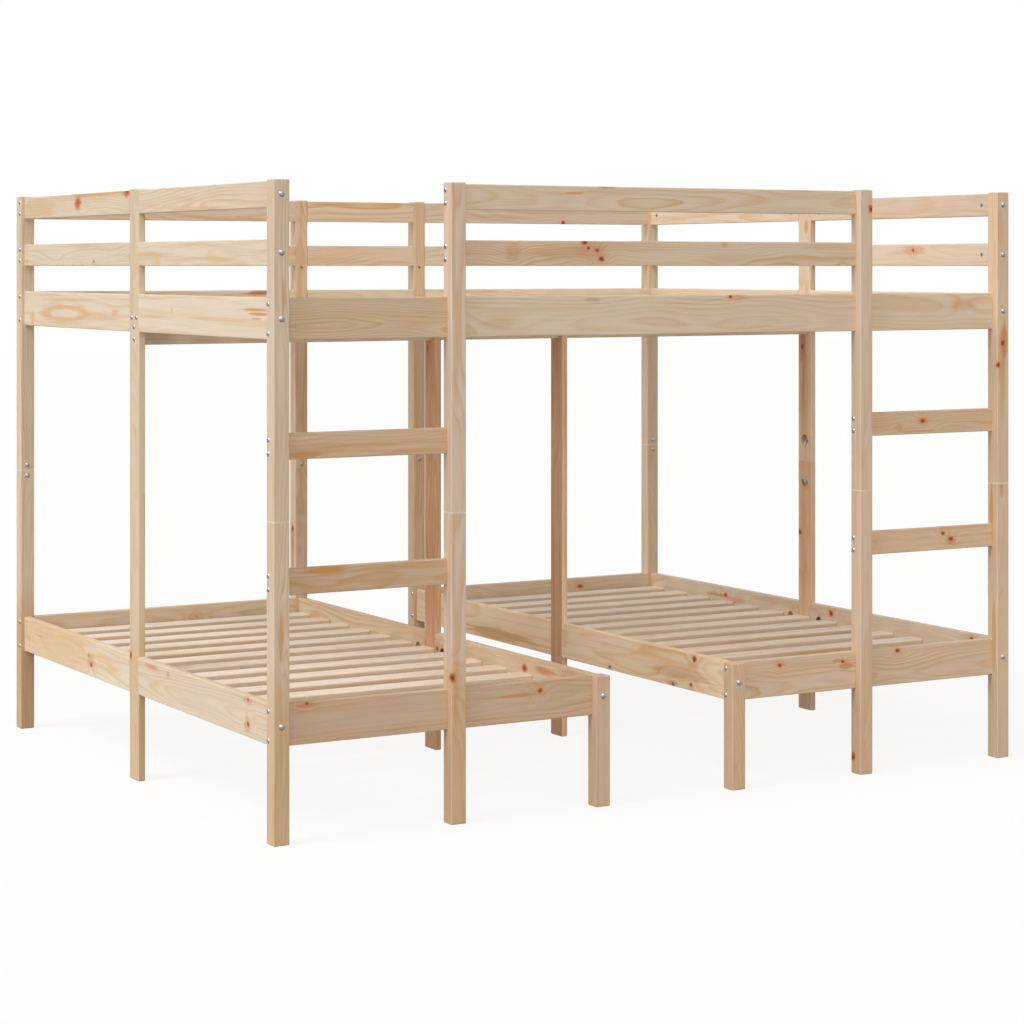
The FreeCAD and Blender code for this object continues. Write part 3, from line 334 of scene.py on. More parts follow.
# Knots: place, then radius
KNOTS = {
    "ladder_post_left_lower": ((-0.59, FRONT, 0.33, 0.009),),
    "lower_front_rail_left": ((-0.94, FRONT, 0.30, 0.004), (-0.35, FRONT, 0.28, 0.006)),
    "lower_aisle_rails_left": ((-0.3, -0.49, 0.275, 0.010), (-0.3, -0.04, 0.265, 0.007)),
    "lower_outer_rails_left": (
        (LEFT, -0.68, 0.24, 0.006), (LEFT, -0.68, 0.294, 0.004), (LEFT, 0.293, 0.241, 0.007),
        (LEFT, 0.31, 0.262, 0.003)),
    "side_post_left_lower": ((LEFT, 0.02, 0.302, 0.008),),
    "side_post_right_lower": ((0.9, 0.021, 0.50, 0.008),),
    "aisle_post_left": ((-0.3, 0.039, 0.914, 0.005),),
    "post_front_right_upper": ((1.008, FRONT, 1.058, 0.007), (0.993, FRONT, 1.002, 0.006)),
    "lower_aisle_rails_right": (
        (0.1, -0.27, 0.218, 0.005), (0.1, -0.66, 0.29, 0.008),
        (0.1, -0.645, 0.225, 0.005), (0.1, -0.565, 0.216, 0.005)),
    "lower_front_rail_right": (
        (0.325, FRONT, 0.285, 0.005), (0.515, FRONT, 0.28, 0.004), (0.685, FRONT, 0.295, 0.006)),
    "lower_outer_rails_right": (
        (0.9, 0.39, 0.28, 0.007), (0.9, -0.125, 0.285, 0.009), (0.9, -0.725, 0.29, 0.006)),
    "ladder_post_right_lower": ((0.5, -0.81, 0.04, 0.009),),
    "ladder_rungs_right": (
        (0.765, FRONT, 0.865, 0.007), (0.83, FRONT, 0.58, 0.005), (0.855, FRONT, 0.565, 0.006)),
    "post_back_inner_left_lower": ((-0.3, 0.82, 0.50, 0.008),),
    "side_guards_left": (
        (LEFT, 0.39, 1.4175, 0.007), (LEFT, 0.045, 1.437, 0.009), (LEFT, 0.275, 1.265, 0.004),
        (LEFT, 0.36, 1.255, 0.003)),
    "back_guards_right": ((0.685, 0.7, 1.385, 0.006),),
    "side_guards_right": ((0.9, -0.486, 1.296, 0.005),),
    "front_guards": (
        (-0.23, FRONT, 1.308, 0.006), (-0.22, FRONT, 1.296, 0.004), (-0.196, FRONT, 1.29, 0.005),
        (-0.185, FRONT, 1.27, 0.007)),
    "deck_front_rail_centre": ((0.18, FRONT, 1.18, 0.004),),
    "side_post_right_upper": ((0.9, 0.01, 1.025, 0.007),),
    "ladder_post_right_upper": ((0.587, FRONT, 1.395, 0.008),),
}
# Coloured patches: place, half the length along the grain, half the width, and how strong
OCHRE_PATCHES = {
    "ladder_rungs_left": (
        (-0.895, FRONT, 0.588, 0.048, 0.011, 0.95), (-0.70, FRONT, 0.585, 0.10, 0.008, 0.35),
        (-0.945, FRONT, 0.842, 0.040, 0.008, 0.8)),
    "ladder_rungs_right": ((0.69, FRONT, 0.85, 0.012, 0.010, 0.5),),
    "lower_aisle_rails_right": (
        (0.1, 0.32, 0.232, 0.20, 0.018, 0.75), (0.1, -0.60, 0.245, 0.14, 0.014, 0.45),
        (0.1, -0.56, 0.218, 0.03, 0.008, 0.5)),
    "lower_aisle_rails_left": ((-0.3, -0.1, 0.262, 0.2, 0.02, 0.35),),
    "lower_outer_rails_right": ((0.9, 0.1, 0.29, 0.2, 0.010, 0.3),),
    "post_front_left_upper": ((-1.005, FRONT, 1.19, 0.055, 0.005, 0.6),),
    "post_front_left_lower": (
        (-1.011, FRONT, 0.454, 0.06, 0.007, 0.7), (-1.012, FRONT, 0.25, 0.12, 0.006, 0.4)),
    "post_front_right_upper": ((1.006, FRONT, 0.95, 0.12, 0.007, 0.4),),
    "post_front_right_lower": ((0.9, -0.815, 0.63, 0.08, 0.007, 0.7), (0.9, -0.825, 0.32, 0.09, 0.009, 0.6)),
    "post_back_inner_left_lower": ((-0.3, 0.82, 0.43, 0.07, 0.012, 0.7),),
    "front_guards": (
        (-0.29, FRONT, 1.285, 0.10, 0.014, 0.4), (-0.42, FRONT, 1.285, 0.02, 0.020, 0.5),
        (0.163, FRONT, 1.304, 0.012, 0.007, 0.5)),
    "back_guards_right": ((0.45, 0.7, 1.40, 0.10, 0.010, 0.35),),
    "deck_front_rail_centre": (
        (-0.21, FRONT, 1.176, 0.02, 0.006, 0.5), (-0.46, FRONT, 1.12, 0.05, 0.016, 0.3)),
    "side_post_right_upper": ((0.9, -0.008, 1.364, 0.022, 0.009, 0.8), (0.9, 0.0, 0.9, 0.15, 0.02, 0.35)),
    "side_post_right_lower": ((0.9, 0.005, 0.45, 0.22, 0.012, 0.4),),
}
YELLOW_PATCHES = {
    "lower_outer_rails_left": ((LEFT, 0.60, 0.27, 0.35, 0.08, 0.5),),
    "post_front_right_upper": ((1.006, FRONT, 1.02, 0.10, 0.012, 0.4),),
    "side_guards_left": (
        (LEFT, 0.25, 1.437, 0.22, 0.008, 1.0), (LEFT, 0.30, 1.431, 0.30, 0.010, 0.35),
        (LEFT, 0.68, 1.41, 0.14, 0.030, 0.4)),
    "deck_side_rails_left": (
        (LEFT, 0.645, 1.130, 0.035, 0.010, 0.6), (LEFT, 0.325, 1.131, 0.05, 0.006, 0.5),
        (LEFT, 0.128, 1.137, 0.025, 0.008, 0.6), (LEFT, 0.737, 1.115, 0.02, 0.018, 0.6),
        (LEFT, 0.515, 1.165, 0.18, 0.004, 0.4)),
}
# Rings of colour, in the same terms
YELLOW_LOOPS = {"deck_side_rails_left": ((LEFT, 0.485, 1.131, 0.15, 0.0155, 0.7),)}
ROSE_PATCHES = {
    "side_guards_right": ((0.9, -0.486, 1.294, 0.05, 0.013, 0.5), (0.9, -0.41, 1.288, 0.04, 0.006, 0.3)),
    "deck_front_rail_right": ((0.894, FRONT, 1.153, 0.035, 0.014, 0.3),),
    "lower_front_rail_left": (
        (-0.94, FRONT, 0.296, 0.03, 0.006, 0.7), (-0.41, FRONT, 0.272, 0.045, 0.004, 0.65)),
    "lower_aisle_rails_left": (
        (-0.3, -0.585, 0.28, 0.06, 0.008, 0.9), (-0.3, -0.70, 0.285, 0.06, 0.010, 0.4)),
    "lower_front_rail_right": (
        (0.525, FRONT, 0.27, 0.022, 0.012, 0.7), (0.33, FRONT, 0.285, 0.02, 0.004, 0.5),
        (0.50, FRONT, 0.283, 0.02, 0.005, 0.6)),
    "lower_outer_rails_right": ((0.9, 0.43, 0.276, 0.07, 0.006, 0.7), (0.9, 0.35, 0.27, 0.06, 0.008, 0.5)),
    "lower_outer_rails_left": (
        (LEFT, -0.675, 0.24, 0.015, 0.02, 0.5), (LEFT, -0.68, 0.293, 0.03, 0.010, 0.4),
        (LEFT, -0.11, 0.291, 0.045, 0.006, 0.7), (LEFT, -0.217, 0.285, 0.008, 0.012, 0.6),
        (LEFT, 0.68, 0.266, 0.03, 0.004, 0.5), (LEFT, 0.77, 0.25, 0.012, 0.008, 0.4),
        (LEFT, 0.30, 0.255, 0.03, 0.018, 0.35)),
    "lower_back_rails": ((-0.95, 0.7, 0.27, 0.05, 0.02, 0.4),),
    "deck_side_rails_left": (
        (LEFT, -0.72, 1.158, 0.06, 0.003, 0.7), (LEFT, -0.735, 1.148, 0.05, 0.004, 0.8),
        (LEFT, -0.72, 1.138, 0.03, 0.003, 0.5), (LEFT, -0.24, 1.15, 0.01, 0.006, 0.35)),
    "deck_back_rails": ((-0.33, 0.7, 1.175, 0.05, 0.006, 0.7),),
    "front_guards": (
        (-0.205, FRONT, 1.285, 0.045, 0.030, 0.35), (-0.17, FRONT, 1.438, 0.025, 0.004, 0.7),
        (-0.26, FRONT, 1.422, 0.02, 0.003, 0.5)),
    "side_guards_left": ((LEFT, 0.39, 1.418, 0.028, 0.019, 0.45), (LEFT, 0.055, 1.436, 0.04, 0.008, 0.6)),
    "deck_front_rail_centre": ((0.20, FRONT, 1.178, 0.035, 0.006, 0.45),),
    "ladder_rungs_right": (
        (0.855, FRONT, 0.562, 0.016, 0.010, 0.6), (0.765, FRONT, 0.865, 0.02, 0.010, 0.5),
        (0.74, FRONT, 0.84, 0.05, 0.003, 0.5)),
    "post_front_right_lower": ((1.004, FRONT, 0.683, 0.018, 0.006, 0.6),),
    "post_back_inner_left_lower": ((-0.3, 0.82, 0.47, 0.05, 0.010, 0.5),),
    "side_post_right_upper": ((0.9, 0.008, 1.03, 0.06, 0.016, 0.65), (0.9, 0.004, 0.92, 0.09, 0.007, 0.6)),
    "post_front_right_upper": (
        (1.012, FRONT, 1.066, 0.045, 0.012, 0.85), (1.0, FRONT, 1.35, 0.05, 0.008, 0.3)),
    "aisle_post_right": ((0.1, -0.004, 0.989, 0.05, 0.004, 0.7),),
    "aisle_post_left": (
        (-0.3, 0.02, 1.02, 0.09, 0.016, 0.5), (-0.3, 0.03, 0.90, 0.07, 0.014, 0.4),
        (-0.3, 0.01, 0.45, 0.14, 0.010, 0.5), (-0.3, 0.04, 0.60, 0.12, 0.006, 0.5)),
}
RED_PATCHES = {
    "side_guards_left": ((LEFT, 0.39, 1.4175, 0.021, 0.015, 1.0), (LEFT, 0.05, 1.432, 0.018, 0.010, 0.9)),
    "deck_back_rails": ((-0.322, 0.7, 1.178, 0.035, 0.006, 0.7),),
}
# Rings that close round a place: half the length along the grain, half the width, and how far they bend
EYES = {
    "deck_front_rail_right": ((0.894, FRONT, 1.153, 0.04, 0.02, 0.010),),
    "side_guards_left": ((LEFT, 0.15, 1.28, 0.08, 0.016, 0.016), (LEFT, 0.55, 1.27, 0.10, 0.014, 0.012)),
    "lower_aisle_rails_right": (
        (0.1, -0.31, 0.27, 0.14, 0.018, 0.016), (0.1, -0.62, 0.245, 0.10, 0.014, 0.014)),
    "post_back_inner_right_lower": ((0.19, 0.7, 0.42, 0.08, 0.008, 0.014),),
    "front_guards": ((-0.43, FRONT, 1.28, 0.03, 0.02, 0.010),),
    "deck_front_rail_centre": ((-0.45, FRONT, 1.13, 0.07, 0.018, 0.014),),
    "post_front_left_lower": ((-1.011, FRONT, 0.45, 0.08, 0.008, 0.012),),
}
# Which input of the wood each table of patches goes to
PATCHES = {"Yellow": YELLOW_PATCHES, "Ochre": OCHRE_PATCHES, "Rose": ROSE_PATCHES, "Red": RED_PATCHES}

# How pieces differ from the common wood: their tone, how strong their rings are (figure) and how wide
SLAT_TONE = (1.15, 1.22, 1.33)
SLAT_SIDE_SHADE_SHARES = (0.88, 0.81, 0.72)   # painted shade on the slats' sides, as shares of their faces' tone
SLAT_LOOK = {"figure": 0.28, "blush": 0.42, "stray": 0.12, "tone": SLAT_TONE, "edge_shade": SLAT_SIDE_SHADE_SHARES}
POST_FIGURE = 0.8
# Side, foot and crown tones are painted shade: darker left and right faces, and darker feet and tops of posts
LOOKS = {
    "post_front_left_upper": {"tone": (0.96, 0.96, 0.98)},
    "post_front_left_lower": {"tone": (0.96, 0.95, 0.96), "foot_shade": (0.91, 0.82, 0.70)},
    "ladder_post_left_upper": {"tone": (0.94, 0.92, 0.96)},
    "ladder_post_left_lower": {"tone": (0.94, 0.91, 0.93), "foot_shade": (0.87, 0.74, 0.60)},
    "ladder_post_right_upper": {"tone": (0.98, 0.94, 0.95)},
    "ladder_post_right_lower": {"tone": (0.98, 0.91, 0.88), "foot_shade": (0.95, 0.86, 0.78)},
    "post_front_right_upper": {"tone": (0.98, 0.90, 0.84)},
    "post_front_right_lower": {"tone": (0.98, 0.90, 0.84)},
    "side_post_left_upper": {"tone": (1.02, 1.03, 1.01), "side": (0.90, 0.86, 0.81)},
    "side_post_left_lower": {
        "tone": (1.0, 1.0, 0.96), "side": (0.90, 0.85, 0.79), "foot_shade": (0.87, 0.76, 0.64)},
    "side_post_right_upper": {
        "tone": (1.06, 1.04, 1.08), "side": (0.99, 0.86, 0.76), "crown_shade": (0.88, 0.83, 0.81)},
    "side_post_right_lower": {"tone": (1.02, 0.93, 0.92), "side": (0.94, 0.76, 0.62)},
    "post_back_left_lower": {"foot_shade": (0.82, 0.70, 0.56)},
    "post_back_inner_left_upper": {"tone": (0.91, 0.82, 0.78)},
    "post_back_inner_left_lower": {"tone": (0.98, 0.91, 0.90)},
    "post_back_inner_right_upper": {"tone": (0.92, 0.84, 0.78)},
    "post_back_inner_right_lower": {"tone": (1.0, 0.92, 0.83), "side": (0.90, 0.80, 0.72), "figure": 1.1},
    "aisle_leg_left": {"tone": (0.92, 0.81, 0.76)},
    "aisle_leg_right": {"tone": (0.90, 0.78, 0.68)},
    "aisle_post_left": {"tone": (0.92, 0.74, 0.63), "side": (0.83, 0.58, 0.46), "figure": 1.1},
    # its front face is paler as painted light, and its left and right faces darker as painted shade
    "aisle_post_right": {"tone": (1.13, 1.06, 1.00), "side": (0.78, 0.57, 0.44), "figure": 1.1},
    "deck_front_rail_left": {"tone": (0.90, 0.83, 0.76)},
    "lower_front_rail_left": {"tone": (0.84, 0.74, 0.68)},
    "lower_front_rail_right": {"tone": (0.94, 0.87, 0.84)},
    "ladder_rungs_left": {"tone": (0.87, 0.77, 0.71)},
    "ladder_rungs_right": {"tone": (0.93, 0.82, 0.75)},
    # its tone is paler as painted light, against the left bed's shade on it
    "lower_aisle_rails_right": {"tone": (1.22, 1.14, 1.05), "figure": 1.2, "ring": 0.008},
    "lower_aisle_rails_left": {"tone": (0.96, 0.92, 0.86)},
    "side_guards_left": {"figure": 0.75, "ring": 0.0062},
    "side_guards_right": {"tone": (0.92, 0.88, 0.88)},
    "deck_side_rails_left": {"figure": 0.5, "ring": 0.0075},
    "deck_front_rail_centre": {"ring": 0.007},
    "post_back_right_upper": {"tone": (1.04, 0.98, 0.94)},
    "post_back_right_lower": {"tone": (1.04, 0.96, 0.90)},
    "front_guards": {"tone": (0.97, 0.96, 0.96)},
    "back_guards_left": {"tone": (0.95, 0.93, 0.98)},
    "back_guards_centre": {"tone": (0.96, 0.95, 0.97)},
    "back_guards_right": {"tone": (0.94, 0.98, 1.04)},
    "deck_back_rails": {"tone": (0.98, 1.02, 1.06)},
}

# Marks, with distances in knot radii or in half sizes of a patch
KNOT_LENGTH_SHARE = 0.8     # how long a knot counts along the grain, as a share of what it is
KNOT_DEPTH_SHARE = 0.35     # the same for its depth, into the board
KNOT_WOBBLE_SCALE = 130.0
SWELL_REACH = 2.4           # how far the rings bend round a knot
SWELL_FALL = 0.5 / SWELL_REACH ** 2
SWELL_SIZE = 1.6            # how much they bend
EYE_FALL = 0.5
PATCH_OUTER, PATCH_INNER = 1.25, 0.55
STREAKS_ALONG, STREAKS_ACROSS = 8.0, 150.0      # of a patch's ragged edge, per metre
PATCH_RAGGED, LOOP_RAGGED = 1.4, 0.7
LOOP_THINNESS, LOOP_CORE = 2.2, 0.3
SEAM_OUTER, SEAM_INNER = 0.0022, 0.0010         # between these the painted highlight at a seam fades in
SEAM_HIGHLIGHT_SHARE = 0.75

# Where the tone changes to painted shade
FOOT_TOP, FOOT_BOTTOM = 0.42, 0.26      # between these heights the wood darkens to the painted shade of its foot
CROWN_BOTTOM, CROWN_TOP = 1.10, 1.18    # and between these to the painted shade of its crown
SIDE_NONE, SIDE_FULL = 0.4, 0.8         # how far a face turns to the side until it has the painted shade of the left and right faces
EDGE_SHADE_FULL, EDGE_SHADE_NONE = 0.1, 0.5         # how far it turns up until it has no more of the painted shade of the slats' sides

FLAT_SHARE = 0.7            # a board less thick than this share of its width is a flat one
# How much a board's number grows to the next board on X, and how much more on each further axis: for the
# boards of a row, and for those that meet end to end
ROW_JUMP, ROW_JUMP_MORE = 3.7, 5.3
CUT_JUMP, CUT_JUMP_MORE = 2.9, 4.1


def to_board(place, box):
    """The point of a board that is nearest to a place."""
    return tuple(min(max(at, first), last) for at, first, last in zip(place, *box))


def ellipse_distance(tree, position, place, box, sizes):
    """How far each point is from a place on a board: 1 on the ellipse round it with these half sizes."""
    gap = tree.vector("SUBTRACT", position, to_board(place, box))
    return tree.length(tree.vector("MULTIPLY", gap, [1 / size for size in sizes]))


def grain_sizes(along, length, width):
    """The length on the grain's axis, and the width on the others."""
    return [length if axis == along else width for axis in "xyz"]


def add_knots(tree, position, knots, box, squeeze):
    """How much the rings swell at each point, and how far it is from a knot, in knot radii."""
    swell, nearest = 0.0, NO_KNOT
    for *place, radius in knots:
        gap = tree.vector("SUBTRACT", position, to_board(place, box))
        gap = tree.vector("MULTIPLY", gap, squeeze)
        gap = tree.vector("ADD", gap, tree.scale(tree.wobble(position, KNOT_WOBBLE_SCALE), radius))
        near = tree.math("DIVIDE", tree.length(gap), radius)
        bend = tree.product(tree.bell(near, SWELL_FALL), SWELL_SIZE * radius)
        swell = tree.math("ADD", swell, bend)
        nearest = tree.math("MINIMUM", nearest, near)
    return swell, nearest


def add_eyes(tree, position, eyes, box, along):
    """How far the rings bend, so that they close round some places."""
    swell = 0.0
    for *place, half_length, half_width, bend in eyes:
        sizes = grain_sizes(along, half_length, half_width)
        near = ellipse_distance(tree, position, place, box, sizes)
        swell = tree.math("ADD", swell, tree.product(tree.bell(near, EYE_FALL), bend))
    return swell


def add_patches(tree, position, patches, box, along, hollow=False):
    """How strong a coloured patch is at each point. Its edge is ragged and streaky, and it may be hollow."""
    mask = 0.0
    for *place, half_length, half_width, strength in patches:
        sizes = grain_sizes(along, half_length, half_width)
        near = ellipse_distance(tree, position, place, box, sizes)
        drawn_out = grain_sizes(along, STREAKS_ALONG, STREAKS_ACROSS)
        ragged = tree.math("SUBTRACT", tree.layer(position, drawn_out, 1.0), 0.5)
        near = tree.math("ADD", near, tree.product(ragged, LOOP_RAGGED if hollow else PATCH_RAGGED))
        if hollow:
            from_line = tree.math("ABSOLUTE", tree.math("SUBTRACT", near, 1.0))
            near = tree.math("ADD", tree.product(from_line, LOOP_THINNESS), LOOP_CORE)
        patch = tree.span(near, PATCH_OUTER, PATCH_INNER, smooth=True)
        mask = tree.math("MAXIMUM", mask, tree.product(patch, strength))
    return mask


def row_step(tree, coordinate, low, high, width, count):
    """Which of a row of equal boards a point is on, and where it is from that board's middle."""
    first = low + width / 2
    pitch = (high - low - width) / (count - 1)
    step = tree.math("ROUND", tree.math("DIVIDE", tree.math("SUBTRACT", coordinate, first), pitch))
    middle = tree.math("ADD", tree.product(step, pitch), first)
    return step, tree.math("SUBTRACT", coordinate, middle)


def lay_boards(tree, coordinates, box, rows, cuts, number):
    """Where each point is from the middle of its board, and a number that differs from board to board."""
    local = {}
    for order, (axis, low, high) in enumerate(zip("xyz", *box)):
        value = coordinates[order]
        local[axis] = tree.math("SUBTRACT", value, (low + high) / 2)
        if axis in rows:
            step, local[axis] = row_step(tree, value, low, high, *rows[axis])
            number = tree.math("ADD", number, tree.product(step, ROW_JUMP + ROW_JUMP_MORE * order))
        for cut in cuts.get(axis, ()):
            over = tree.math("GREATER_THAN", value, cut)
            number = tree.math("ADD", number, tree.product(over, CUT_JUMP + CUT_JUMP_MORE * order))
    return local, number


def board_tone(tree, height, tone, side, foot_shade, crown_shade, edge_shade):
    """The tone of each point, with painted shade on the left and right faces, at the ends and on the slats'
    sides.
    """
    facing = tree.facing()
    sideways = tree.math("ABSOLUTE", facing[0])
    # painted shade on the left and right faces, at the foot and at the crown
    for other, measure, none, full in ((side, sideways, SIDE_NONE, SIDE_FULL),
                                       (foot_shade, height, FOOT_TOP, FOOT_BOTTOM),
                                       (crown_shade, height, CROWN_BOTTOM, CROWN_TOP)):
        if other:
            share = tree.span(measure, none, full, smooth=True)
            tone = [tree.between(share, here, there) for here, there in zip(tone, other)]
    tone = tree.combine(*tone)
    # painted shade on the slats' sides, where a face turns away from up
    if edge_shade:
        level = tree.math("ABSOLUTE", facing[2])
        shades = [tree.span(level, EDGE_SHADE_FULL, EDGE_SHADE_NONE, edge, 1.0) for edge in edge_shade]
        tone = tree.vector("MULTIPLY", tone, tree.combine(*shades))
    return tone


def make_pine(node, number, along, rows=None, cuts=None, figure=0.95, blush=0.0, stray=0.25, ring=RING_WIDTH,
              tone=(1, 1, 1), side=None, foot_shade=None, crown_shade=None, edge_shade=None):
    """Pine for one node. Each separate board in it gets a log of its own.

    Side is the painted shade of its left and right faces, foot and crown that of its ends, and edges that of
    the slats' sides.
    """
    rows, cuts = rows or {}, cuts or {}
    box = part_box(node)
    material, tree, shader = new_material("pine_" + node)
    position = tree.node("TexCoord", output="Object")
    coordinates = tree.separate(position)
    height = coordinates[2]
    local, number = lay_boards(tree, coordinates, box, rows, cuts, float(number))
    sizes = {axis: high - low for axis, low, high in zip("xyz", *box)}
    others = [axis for axis in "xyz" if axis != along]
    wide, thin = sorted(others, key=lambda axis: -rows[axis][0] if axis in rows else -sizes[axis])
    flat = thin if sizes[thin] < FLAT_SHARE * sizes[wide] else None
    squeeze = [KNOT_LENGTH_SHARE if axis == along else KNOT_DEPTH_SHARE if axis == flat else 1.0
               for axis in "xyz"]

    # the marks that the photograph shows on this node
    swell, nearest = add_knots(tree, position, KNOTS.get(node, ()), box, squeeze)
    swell = tree.math("ADD", swell, add_eyes(tree, position, EYES.get(node, ()), box, along))
    patches = {name: add_patches(tree, position, places.get(node, ()), box, along)
               for name, places in PATCHES.items()}
    loops = add_patches(tree, position, YELLOW_LOOPS.get(node, ()), box, along, hollow=True)
    patches["Yellow"] = tree.math("MAXIMUM", patches["Yellow"], loops)
    # painted highlight along the seam of a post
    seam_highlight = 0.0
    if node.endswith(("_lower", "_upper")) and not node.startswith("side"):
        from_seam = tree.math("ABSOLUTE", tree.math("SUBTRACT", height, SEAM_HEIGHT))
        seam_highlight = tree.span(from_seam, SEAM_OUTER, SEAM_INNER, 0.0, SEAM_HIGHLIGHT_SHARE)

    wood = tree.add("Group", node_tree=PINE)
    given = {"Place": tree.combine(local[along], local[wide], local[thin]),
             "Random": tree.node("TexWhiteNoise", {"W": number}, output="Color", noise_dimensions="1D"),
             "Tone": board_tone(tree, height, tone, side, foot_shade, crown_shade, edge_shade),
             "Ring": ring, "Swell": swell, "Near": nearest, "Figure": figure, "Blush": blush, "Stray": stray,
             "Seam": seam_highlight, **patches}
    for name, value in given.items():
        tree.link(value, wood.inputs[name])
    tree.link(wood.outputs["Color"], shader["Base Color"])
    tree.link(wood.outputs["Roughness"], shader["Roughness"])
    tree.link(tree.node("Bump", {"Height": wood.outputs["Height"], **WOOD_BUMP}), shader["Normal"])
    tree.link(WOOD_SPECULAR, shader["Specular IOR Level"])
    return material


# Zinc plating
ZINC_DARK = (0.30, 0.292, 0.282, 1)
ZINC_LIGHT = (0.44, 0.43, 0.415, 1)
ZINC_SHADE_SHARE, ZINC_HIGHLIGHT_SHARE = 0.42, 1.4      # of those, as painted shade for faces that look down and a painted highlight for those that look up
ZINC_PAINTED_LIGHT_SLOPE = 0.6            # how far a face turns until it has all of that painted shade or highlight
MOTTLE_SCALE, MOTTLE_DETAIL, MOTTLE_RANGE = 420.0, 3.0, (0.3, 0.7)
SPECK_SCALE = 1500.0
MATT_ZINC, BRIGHT_ZINC = 0.34, 0.22      # how rough each is
ZINC_BUMP = {"Strength": 0.08, "Distance": 0.0002}


def make_zinc():
    """Zinc-plated steel with the faint mottling of a barrel finish, and a painted highlight and shade by how
    it faces.
    """
    material, tree, shader = new_material("zinc_steel")
    position = tree.node("TexCoord", output="Object")
    mottle = tree.noise(position, MOTTLE_SCALE, MOTTLE_DETAIL)
    plating = tree.mix(tree.span(mottle, *MOTTLE_RANGE), ZINC_DARK, ZINC_LIGHT)
    # painted highlight where it faces up and painted shade where it faces down, as on a polished head under a
    # high light
    shade = tree.span(tree.facing()[2], -ZINC_PAINTED_LIGHT_SLOPE, ZINC_PAINTED_LIGHT_SLOPE, ZINC_SHADE_SHARE, ZINC_HIGHLIGHT_SHARE)
    tree.link(tree.scale(plating, shade), shader["Base Color"])
    tree.link(tree.span(mottle, *MOTTLE_RANGE, MATT_ZINC, BRIGHT_ZINC), shader["Roughness"])
    tree.link(1.0, shader["Metallic"])
    specks = tree.noise(position, SPECK_SCALE)
    tree.link(tree.node("Bump", {"Height": specks, **ZINC_BUMP}), shader["Normal"])
    return material


def boards_of(node):
    """How a node's boards lie: their grain's axis, rows of equal boards, and where boards meet.

    A row is given by its axis, the width of a board and their number.
    """
    lower = node.startswith("lower")
    halves = {"y": (0.0,)}
    if "slats" in node:
        if lower:
            return {"along": "x", "rows": {"y": (SLAT_WIDTH, LOWER_SLATS)}, **SLAT_LOOK}
        return {"along": "y", "rows": {"x": (SLAT_WIDTH, DECK_SLATS)}, **SLAT_LOOK}
    if "ledger" in node:
        if lower:
            return {"along": "y", "cuts": {"x": (-LOWER_BED_X, 0.0, LOWER_BED_X)}}
        return {"along": "x", "cuts": halves}
    if "post" in node or "leg" in node:
        return {"along": "z", "figure": POST_FIGURE}
    if "side_guards" in node:
        return {"along": "y", "rows": {"z": (SLIM_WIDTH, 2)}, "cuts": halves}
    if "guards" in node or "rungs" in node:
        return {"along": "x", "rows": {"z": (SLIM_WIDTH, 2)}}
    if "side_rails" in node or "outer_rails" in node or "aisle_rails" in node:
        return {"along": "y", "cuts": halves}
    if node == "deck_back_rails":
        return {"along": "x", "cuts": {"x": (-INNER_POST_X, INNER_POST_X)}}
    if node == "lower_back_rails":
        return {"along": "x", "cuts": {"x": (0.0,)}}
    return {"along": "x"}


def add_materials():
    """Zinc on the metal nodes, and pine of its own on each of the others."""
    zinc = make_zinc()
    slot_of = {part["node"]: part["material_slot"] for part in frame["record"]["subparts"]}
    number_of = {node: number for number, node in enumerate(sorted(NODES))}
    for node in sorted(NODES):
        if slot_of[node] == "zinc_steel":
            material = zinc
        else:
            # both halves of a post come from one log
            number = number_of[node.replace("_upper", "_lower")]
            material = make_pine(node, number, **{**boards_of(node), **LOOKS.get(node, {})})
        for slot in NODES[node].material_slots:
            slot.material = material


# White floor and surroundings
WHITE = (1, 1, 1, 1)
FLOOR_REACH = 30.0
FLOOR_GREY = (0.42, 0.41, 0.40, 1)      # what it throws back onto the bed
FLOOR_GLOW_SHARE = 0.70     # how much of what is seen of it is plain white, without the shadow
FLOOR_LIFT = 0.17           # the light that is added to what is seen of it
ZENITH_LIGHT = (0.27, 0.25, 0.225, 1)
HORIZON_LIGHT = (0.55, 0.51, 0.455, 1)
ZENITH_FROM = 0.7           # how high up the light no longer changes, as a share of straight up
# Lamps: name, direction towards each, strength, width in degrees, and colour
LAMPS = (
    ("key", (-0.68, -0.03, 0.73), 2.1, 32, (0.98, 1.0, 1.04)),
    ("side", (-0.95, -0.10, 0.28), 0.3, 45, (1.0, 1.0, 1.0)),
    ("fill", (-0.20, -0.80, 0.50), 1.06, 50, (1.0, 0.93, 0.85)),
)


def emptied(owner):
    """Short ways to add to the nodes of a material or world, which start from none."""
    owner.use_nodes = True
    owner.node_tree.nodes.clear()
    return Tree(owner.node_tree)


def seen_share(tree):
    """1 where something is seen, also in a reflection or through glass, and 0 where it only lights others."""
    path = tree.add("LightPath").outputs
    seen = tree.math("MAXIMUM", path["Is Camera Ray"], path["Is Glossy Ray"])
    return tree.math("MAXIMUM", seen, path["Is Transmission Ray"])


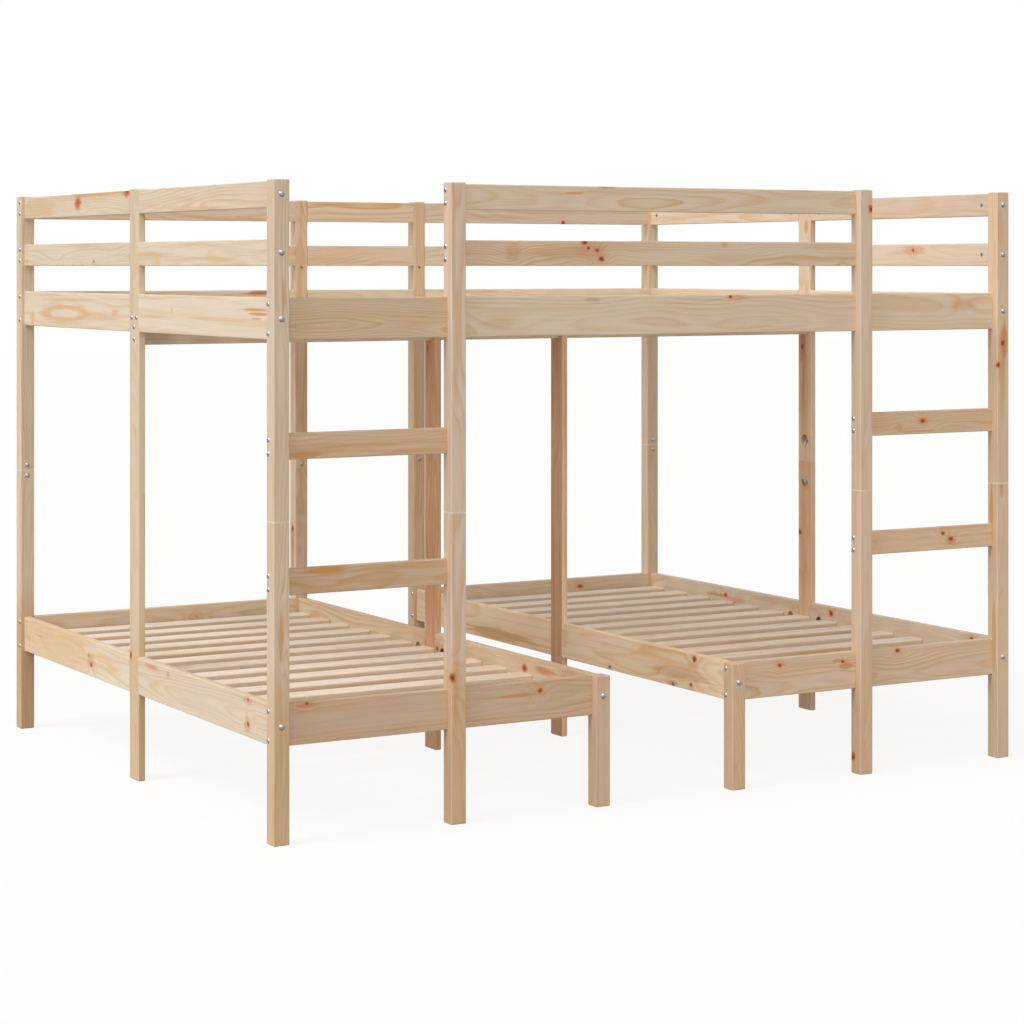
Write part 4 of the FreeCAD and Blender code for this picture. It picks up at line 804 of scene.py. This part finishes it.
def make_floor():
    """A white floor that keeps a soft shadow."""
    mesh = bpy.data.meshes.new("floor")
    corners = [(x * FLOOR_REACH, y * FLOOR_REACH, 0) for x, y in ((-1, -1), (1, -1), (1, 1), (-1, 1))]
    mesh.from_pydata(corners, [], [(0, 1, 2, 3)])
    floor = bpy.data.objects.new("floor", mesh)
    bpy.context.scene.collection.objects.link(floor)
    material = bpy.data.materials.new("floor_white")
    tree = emptied(material)
    matt = tree.node("BsdfDiffuse", {"Color": FLOOR_GREY})
    glow = tree.node("Emission", {"Color": WHITE, "Strength": 1.0})
    lift = tree.node("Emission", {"Color": WHITE, "Strength": FLOOR_LIFT})
    veil = tree.node("MixShader", (FLOOR_GLOW_SHARE, matt, glow))
    surface = tree.node("MixShader", (seen_share(tree), matt, tree.node("AddShader", (veil, lift))))
    tree.add("OutputMaterial", {"Surface": surface})
    mesh.materials.append(material)


def make_world():
    """Even light from all round; what the camera and reflections see of it is white."""
    world = bpy.data.worlds.new("studio")
    bpy.context.scene.world = world
    tree = emptied(world)
    height = tree.separate(tree.node("TexCoord", output="Generated"))[2]
    light = tree.mix(tree.span(height, 0.0, ZENITH_FROM), HORIZON_LIGHT, ZENITH_LIGHT)
    dim = tree.node("Background", {"Color": light, "Strength": 1.0})
    white = tree.node("Background", {"Color": WHITE, "Strength": 1.0})
    tree.add("OutputWorld", {"Surface": tree.node("MixShader", (seen_share(tree), dim, white))})


def add_lamp(name, towards, strength, width, colour):
    """A sun that shines from one side. The wider it is, the softer are its shadows."""
    light = bpy.data.lights.new(name, "SUN")
    light.energy = strength
    light.angle = math.radians(width)
    light.color = colour
    lamp = bpy.data.objects.new(name, light)
    lamp.rotation_euler = Vector(towards).to_track_quat("Z", "Y").to_euler()
    bpy.context.scene.collection.objects.link(lamp)


def add_camera():
    """The camera of the photograph: level, and shifted up or down to the photograph's horizon."""
    camera = bpy.data.objects.new("camera", bpy.data.cameras.new("camera"))
    camera.data.sensor_width = SENSOR_WIDTH
    camera.data.lens = CAMERA_LENS
    camera.data.shift_y = (HORIZON_ROW - PHOTO_SIZE / 2) / PHOTO_SIZE
    camera.location = CAMERA_PLACE
    camera.rotation_euler = (math.radians(90), 0, math.radians(-CAMERA_YAW))
    bpy.context.scene.collection.objects.link(camera)
    bpy.context.scene.camera = camera


add_materials()
make_floor()
make_world()
for lamp in LAMPS:
    add_lamp(*lamp)
add_camera()
bpy.context.scene.view_settings.view_transform = "Standard"
